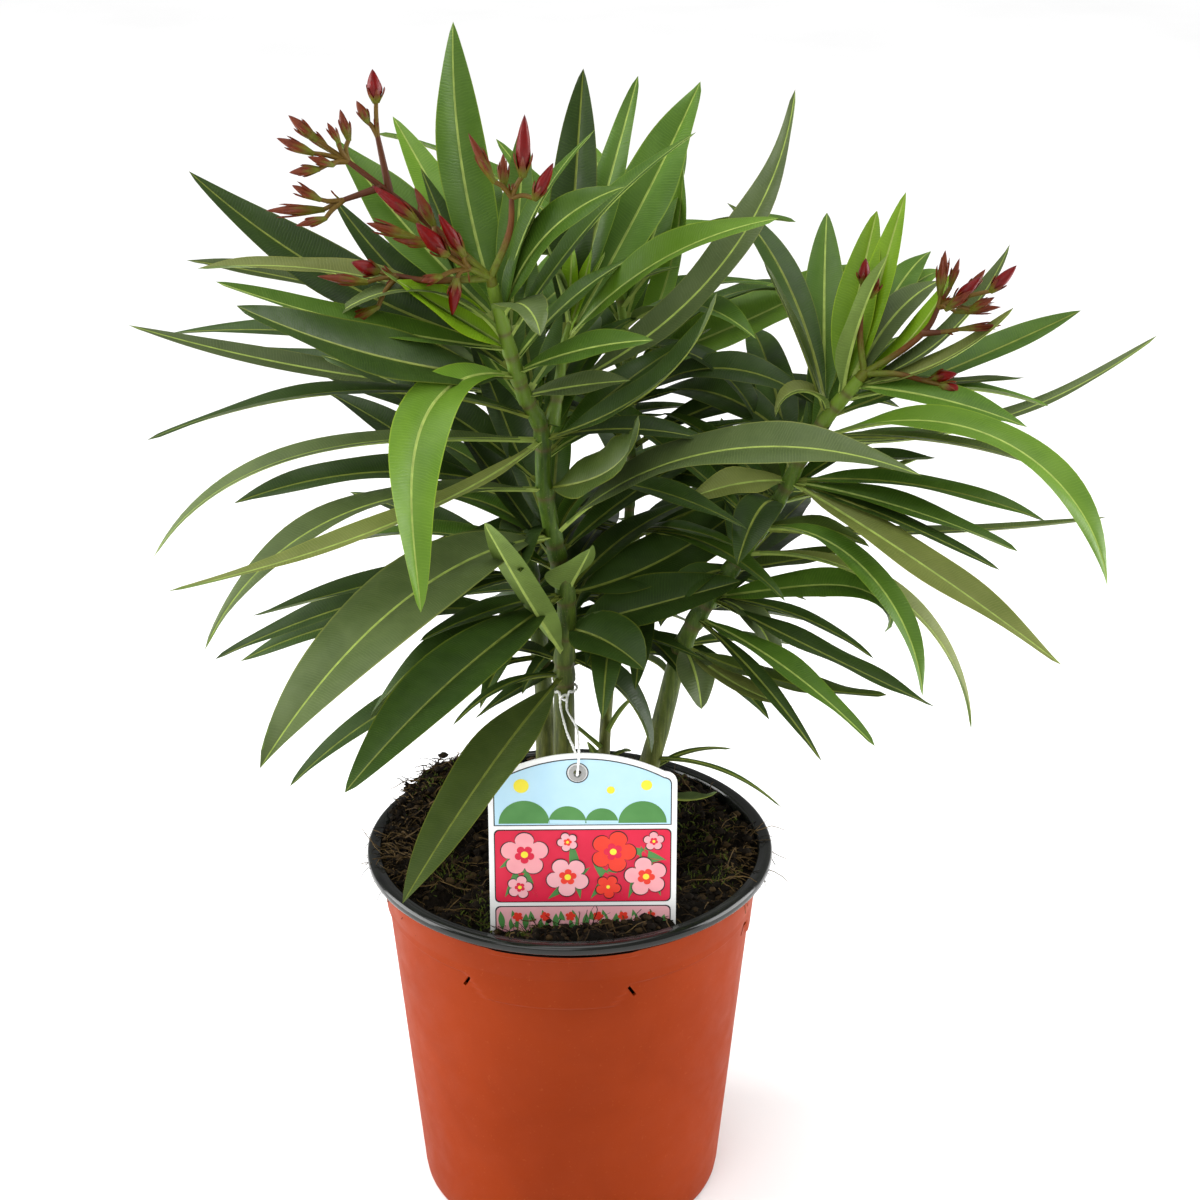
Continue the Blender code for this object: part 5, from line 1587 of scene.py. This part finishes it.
def build_label():
    """A white card with a plain printed design: suns over hills, a flowered field and a grassy foot."""
    hole = arc(EYELET_PLACE, EYELET_HOLE, 0, 348.75, 32)
    card = flat_shape("label_card", [label_outline(), hole], LABEL_THICK, 0, CARD)
    prints = []

    def ink(name, outlines, level, colour):
        lift = LABEL_THICK / 2 + PRINT_RISE * (level + 0.5) + 0.01
        prints.append(flat_shape(name, outlines, PRINT_RISE, lift, INKS[colour]))

    for line, level, colour in ((PRINT_LINE, 0, "black"), (0, 1, "sky")):
        inset = PRINT_MARGIN - line
        low, half = BAND_FOOT + inset, LABEL_WIDTH / 2 - inset
        arch = [spot for spot in label_outline(inset) if spot[1] > low]
        ring = arc(EYELET_PLACE, EYELET_CLEAR - line, 0, 348.75, 32)
        ink("band", [[(half, low), *arch, (-half, low)], ring], level, colour)
    for name, (left, bottom, right, top), colour in (("field", FIELD, "crimson"), ("foot", FOOT_BAND, "pink")):
        line = PRINT_LINE
        ink(name + "_edge", [panel(left - line, bottom - line, right + line, top + line)], 0, "black")
        ink(name, [panel(left, bottom, right, top)], 1, colour)
    hills = [[(x, HILL_FOOT), *arc((x + w / 2, HILL_FOOT), w / 2, 180, 0, 20)] for x, w in HILLS]
    ink("hills", hills, 2, "green")
    ink("suns", [arc((x, y), radius, 0, 345, 24) for x, y, radius in SUNS], 2, "yellow")
    ink("stems", [lance(*spec) for spec in LABEL_LEAVES], 2, "green")
    for k, (x, y, size, turn) in enumerate(LABEL_FLOWERS):
        level = 3 + 4 * (k % 2)
        ink("petal_edge", [blossom((x, y), size + PRINT_LINE, turn)], level, "black")
        ink("petal", [blossom((x, y), size, turn)], level + 1, ("rose", "pink", "scarlet")[k % 3])
        ink("heart", [blossom((x, y), size * 0.42, turn + 36)], level + 2, ("crimson", "scarlet")[k % 2])
        ink("eye", [arc((x, y), size * 0.15, 0, 345, 24)], level + 3, "yellow")
    blades = zip(range(-32, 34, 3), cycle((96, 78, 104, 88)), cycle((8.6, 6.8, 9.2, 7.4)))
    ink("grass", [lance((x, 2.2), heading, length, 2.6) for x, heading, length in blades], 2, "green")
    ink("drops", [blossom((x, 8.2), 2.1, 12 * x) for x in DROPS], 3, "scarlet")
    bpy.context.view_layer.update()
    with bpy.context.temp_override(active_object=prints[0], selected_editable_objects=prints):
        bpy.ops.object.join()
    prints[0].name = "label_print"
    settle(card, "label_card", "label")
    settle(prints[0], "label_card", "label")


# The elastic: where it goes round the stem, its two strands' size, spread and twist, and the gap
# between the bark and its middle.
TIE_HEIGHT = 237
STRAND_RADIUS = 0.34
STRAND_SPREAD = 0.26
STRAND_TWIST = 1.6
TIE_GAP = 1.2


def tie_route():
    """The elastic's loop: through the eyelet, up its front, round the stem and down its back."""
    eye = np.array(label_place() @ (Vector((*EYELET_PLACE, 0)) * MM)) / MM
    knot = stem_point("left", TIE_HEIGHT)
    reach = bark_radius("left", TIE_HEIGHT) + TIE_GAP
    turns = np.radians(np.arange(20, 341, 20))
    loop = [knot + reach * np.array([math.sin(a), -math.cos(a), 0]) for a in turns]
    down, up = knot + (-1.2, -reach - 2.5, -6), knot + (1.2, -reach - 2.5, -6)
    middle = (eye + knot) / 2
    rising = [eye + (0, -3.2, 1), eye + (0.6, -1.8, 10.2), middle + (2.4, -3, 2), up]
    falling = [down, middle + (-1.4, -3, 0), eye + (-0.9, 2, 8), eye + (0, 3.2, 1)]
    return [eye] + rising + loop + falling


def build_tie():
    """White elastic thread of fine twisted strands, with a small knot at the stem."""
    route = tie_route()
    line = smooth_line([*route, route[0]], 8)
    ahead = np.gradient(line, axis=0)
    ahead /= np.linalg.norm(ahead, axis=1)[:, None]
    side = np.cross(ahead, (0.2, 0.1, 1))
    side /= np.linalg.norm(side, axis=1)[:, None]
    up = np.cross(ahead, side)
    travel = np.concatenate([[0], np.cumsum(np.linalg.norm(np.diff(line, axis=0), axis=1))])
    book = Book()
    for k in range(2):
        spin = travel * STRAND_TWIST + k * math.pi
        strand = line + STRAND_SPREAD * (np.cos(spin)[:, None] * side + np.sin(spin)[:, None] * up)
        points, faces = tube(strand, [STRAND_RADIUS] * len(strand), 7)
        book.add(points, faces, 0)
    knot = stem_point("left", TIE_HEIGHT) + (0, -bark_radius("left", TIE_HEIGHT) - 1.9, -1.5)
    turns = np.linspace(0, 4 * math.pi, 40)
    ball = [knot + (1.2 * math.cos(a), 0.7 * math.sin(2 * a), 1.0 * math.sin(a)) for a in turns]
    points, faces = tube(ball, [0.5] * len(ball), 7)
    book.add(points, faces, 0)
    settle(book.piece("elastic_thread", [ELASTIC], 80), "elastic", "label_tie")


# ---------------------------------------------------------------- studio

# The camera at the photograph's angle, in metres and degrees.
CAMERA_PLACE = (-0.001, -0.90, 0.668)
CAMERA_TURN = (66.16, 0, -0.87)
CAMERA_LENS = 73.35
SENSOR = 36
AMBIENT = 0.30
FLOOR_SIZE = 14
# The broad light from above: where it comes from, its strength and how soft it is in degrees.
SUN_PLACE = (-0.3, -0.05, 1.6)
SUN_POWER = 2.9
SUN_SOFTNESS = 65
# Soft lamps beside the plant: name, place, size and power in watts.
LAMPS = (
    ("left_panel", (-1.2, 0.05, 0.5), (0.9, 1.0), 24),
    ("right_panel", (1.2, 0.05, 0.5), (0.9, 1.0), 24),
    ("front_panel", (-0.5, -1.5, 1.0), (1.2, 1.0), 11),
)
LAMP_AIM = (0, 0, 0.2)


def add_lamp(lamp, place, aim):
    """Stands a lamp at a place and turns it to what it lights."""
    obj = bpy.data.objects.new(lamp.name, lamp)
    obj.location = place
    obj.rotation_euler = (Vector(aim) - Vector(place)).to_track_quat("-Z", "Y").to_euler()
    bpy.context.scene.collection.objects.link(obj)


def build_studio():
    """A pale floor, soft lamps and the camera at the photograph's angle."""
    bpy.ops.mesh.primitive_plane_add(size=FLOOR_SIZE, location=(0, 2, -0.0002))
    floor = bpy.context.object
    floor.name = "studio_floor"
    made, tree, shader = new_material("studio_floor")
    cloud = spread(tree, speckle(tree, 3, 3), 0.3, 0.7)
    set_colour(tree, shader, mixed(tree, cloud, (0.79, 0.79, 0.79), (0.84, 0.84, 0.84)))
    shader.inputs["Roughness"].default_value = 0.9
    floor.data.materials.append(made)
    for name, place, size, power in LAMPS:
        lamp = bpy.data.lights.new(name, "AREA")
        lamp.shape = "RECTANGLE"
        lamp.size, lamp.size_y = size
        lamp.energy = power
        add_lamp(lamp, place, LAMP_AIM)
    sun = bpy.data.lights.new("sky_panel", "SUN")
    sun.energy = SUN_POWER
    sun.angle = math.radians(SUN_SOFTNESS)
    add_lamp(sun, SUN_PLACE, (0, 0, 0))
    world = bpy.data.worlds.new("studio")
    world.use_nodes = True
    world.node_tree.nodes["Background"].inputs["Color"].default_value = (1, 1, 1, 1)
    world.node_tree.nodes["Background"].inputs["Strength"].default_value = AMBIENT
    bpy.context.scene.world = world
    camera = bpy.data.cameras.new("camera")
    camera.sensor_width = SENSOR
    camera.lens = CAMERA_LENS
    eye = bpy.data.objects.new("camera", camera)
    eye.location = CAMERA_PLACE
    eye.rotation_euler = [math.radians(a) for a in CAMERA_TURN]
    bpy.context.scene.collection.objects.link(eye)
    bpy.context.scene.camera = eye
    bpy.context.scene.view_settings.view_transform = "Standard"


# ---------------------------------------------------------------- the whole

LEAF_TOPS = {kind: leaf_material(kind) for kind in LEAF_KINDS}
RIBS = {kind: rib_material(kind) for kind in RIB_COLOURS}
UNDERS = {kind: under_material(kind) for kind in UNDER_COLOURS}
BARK = bark_material()
BUD_PETAL = bud_material("bud_petal", (0.120, 0.005, 0.003), (0.140, 0.001, 0.001),
                         (0.050, 0.001, 0.001), 0.36)
BUD_SEPAL = bud_material("bud_sepal", (0.105, 0.120, 0.008), (0.120, 0.022, 0.004),
                         (0.070, 0.003, 0.002), 0.48)
BUD_STALK = bud_material("bud_stalk", (0.110, 0.145, 0.012), (0.120, 0.040, 0.007),
                         (0.060, 0.014, 0.004), 0.5)
TERRACOTTA = terracotta_material()
DARK_PLASTIC = plastic_material("dark_plastic", (0.003, 0.0035, 0.003), (0.009, 0.010, 0.008), 0.09, 0.34)
PEAT = earth_material("peat", (0.002, 0.0014, 0.0006), (0.009, 0.0055, 0.0025), 90, 0.95, 0.6)
PEAT_CRUMB = earth_material("peat_crumb", (0.002, 0.0015, 0.0008), (0.013, 0.008, 0.0035), 120, 0.95, 0.5)
PEAT_FIBRE = earth_material("peat_fibre", (0.012, 0.007, 0.0025), (0.050, 0.030, 0.010), 90, 0.85, 0.3)
STRAW = earth_material("straw", (0.040, 0.024, 0.008), (0.145, 0.092, 0.032), 120, 0.7, 0.2)
MOSS = earth_material("moss", (0.022, 0.036, 0.003), (0.080, 0.105, 0.010), 160, 0.8, 0.2)
CARD = print_material("label_card", (0.82, 0.82, 0.81), (0.88, 0.88, 0.87))
INK_COLOURS = {
    "sky": ((0.42, 0.66, 0.80), (0.50, 0.72, 0.84)),
    "crimson": ((0.60, 0.012, 0.045), (0.70, 0.022, 0.065)),
    "pink": ((0.78, 0.36, 0.40), (0.84, 0.45, 0.48)),
    "rose": ((0.80, 0.30, 0.34), (0.88, 0.42, 0.44)),
    "green": ((0.06, 0.20, 0.05), (0.10, 0.28, 0.08)),
    "scarlet": ((0.72, 0.03, 0.02), (0.80, 0.06, 0.03)),
    "black": ((0.012, 0.012, 0.012), (0.020, 0.020, 0.020)),
    "yellow": ((0.78, 0.66, 0.03), (0.85, 0.74, 0.07)),
}
INKS = {name: print_material("ink_" + name, *pair) for name, pair in INK_COLOURS.items()}
ELASTIC = plastic_material("elastic", (0.74, 0.74, 0.72), (0.86, 0.86, 0.84), 0.45)
EYELET = plastic_material("eyelet", (0.22, 0.22, 0.21), (0.34, 0.34, 0.33), 0.3)

build_pot()
build_rim()
build_peat()
build_litter()
for stem in STEMS:
    build_bark(stem)
build_leaves()
for side in BUD_HEADS:
    build_bud_head(side)
build_label()
build_tie()
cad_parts["eyelet"].data.materials.clear()
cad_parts["eyelet"].data.materials.append(EYELET)
build_studio()
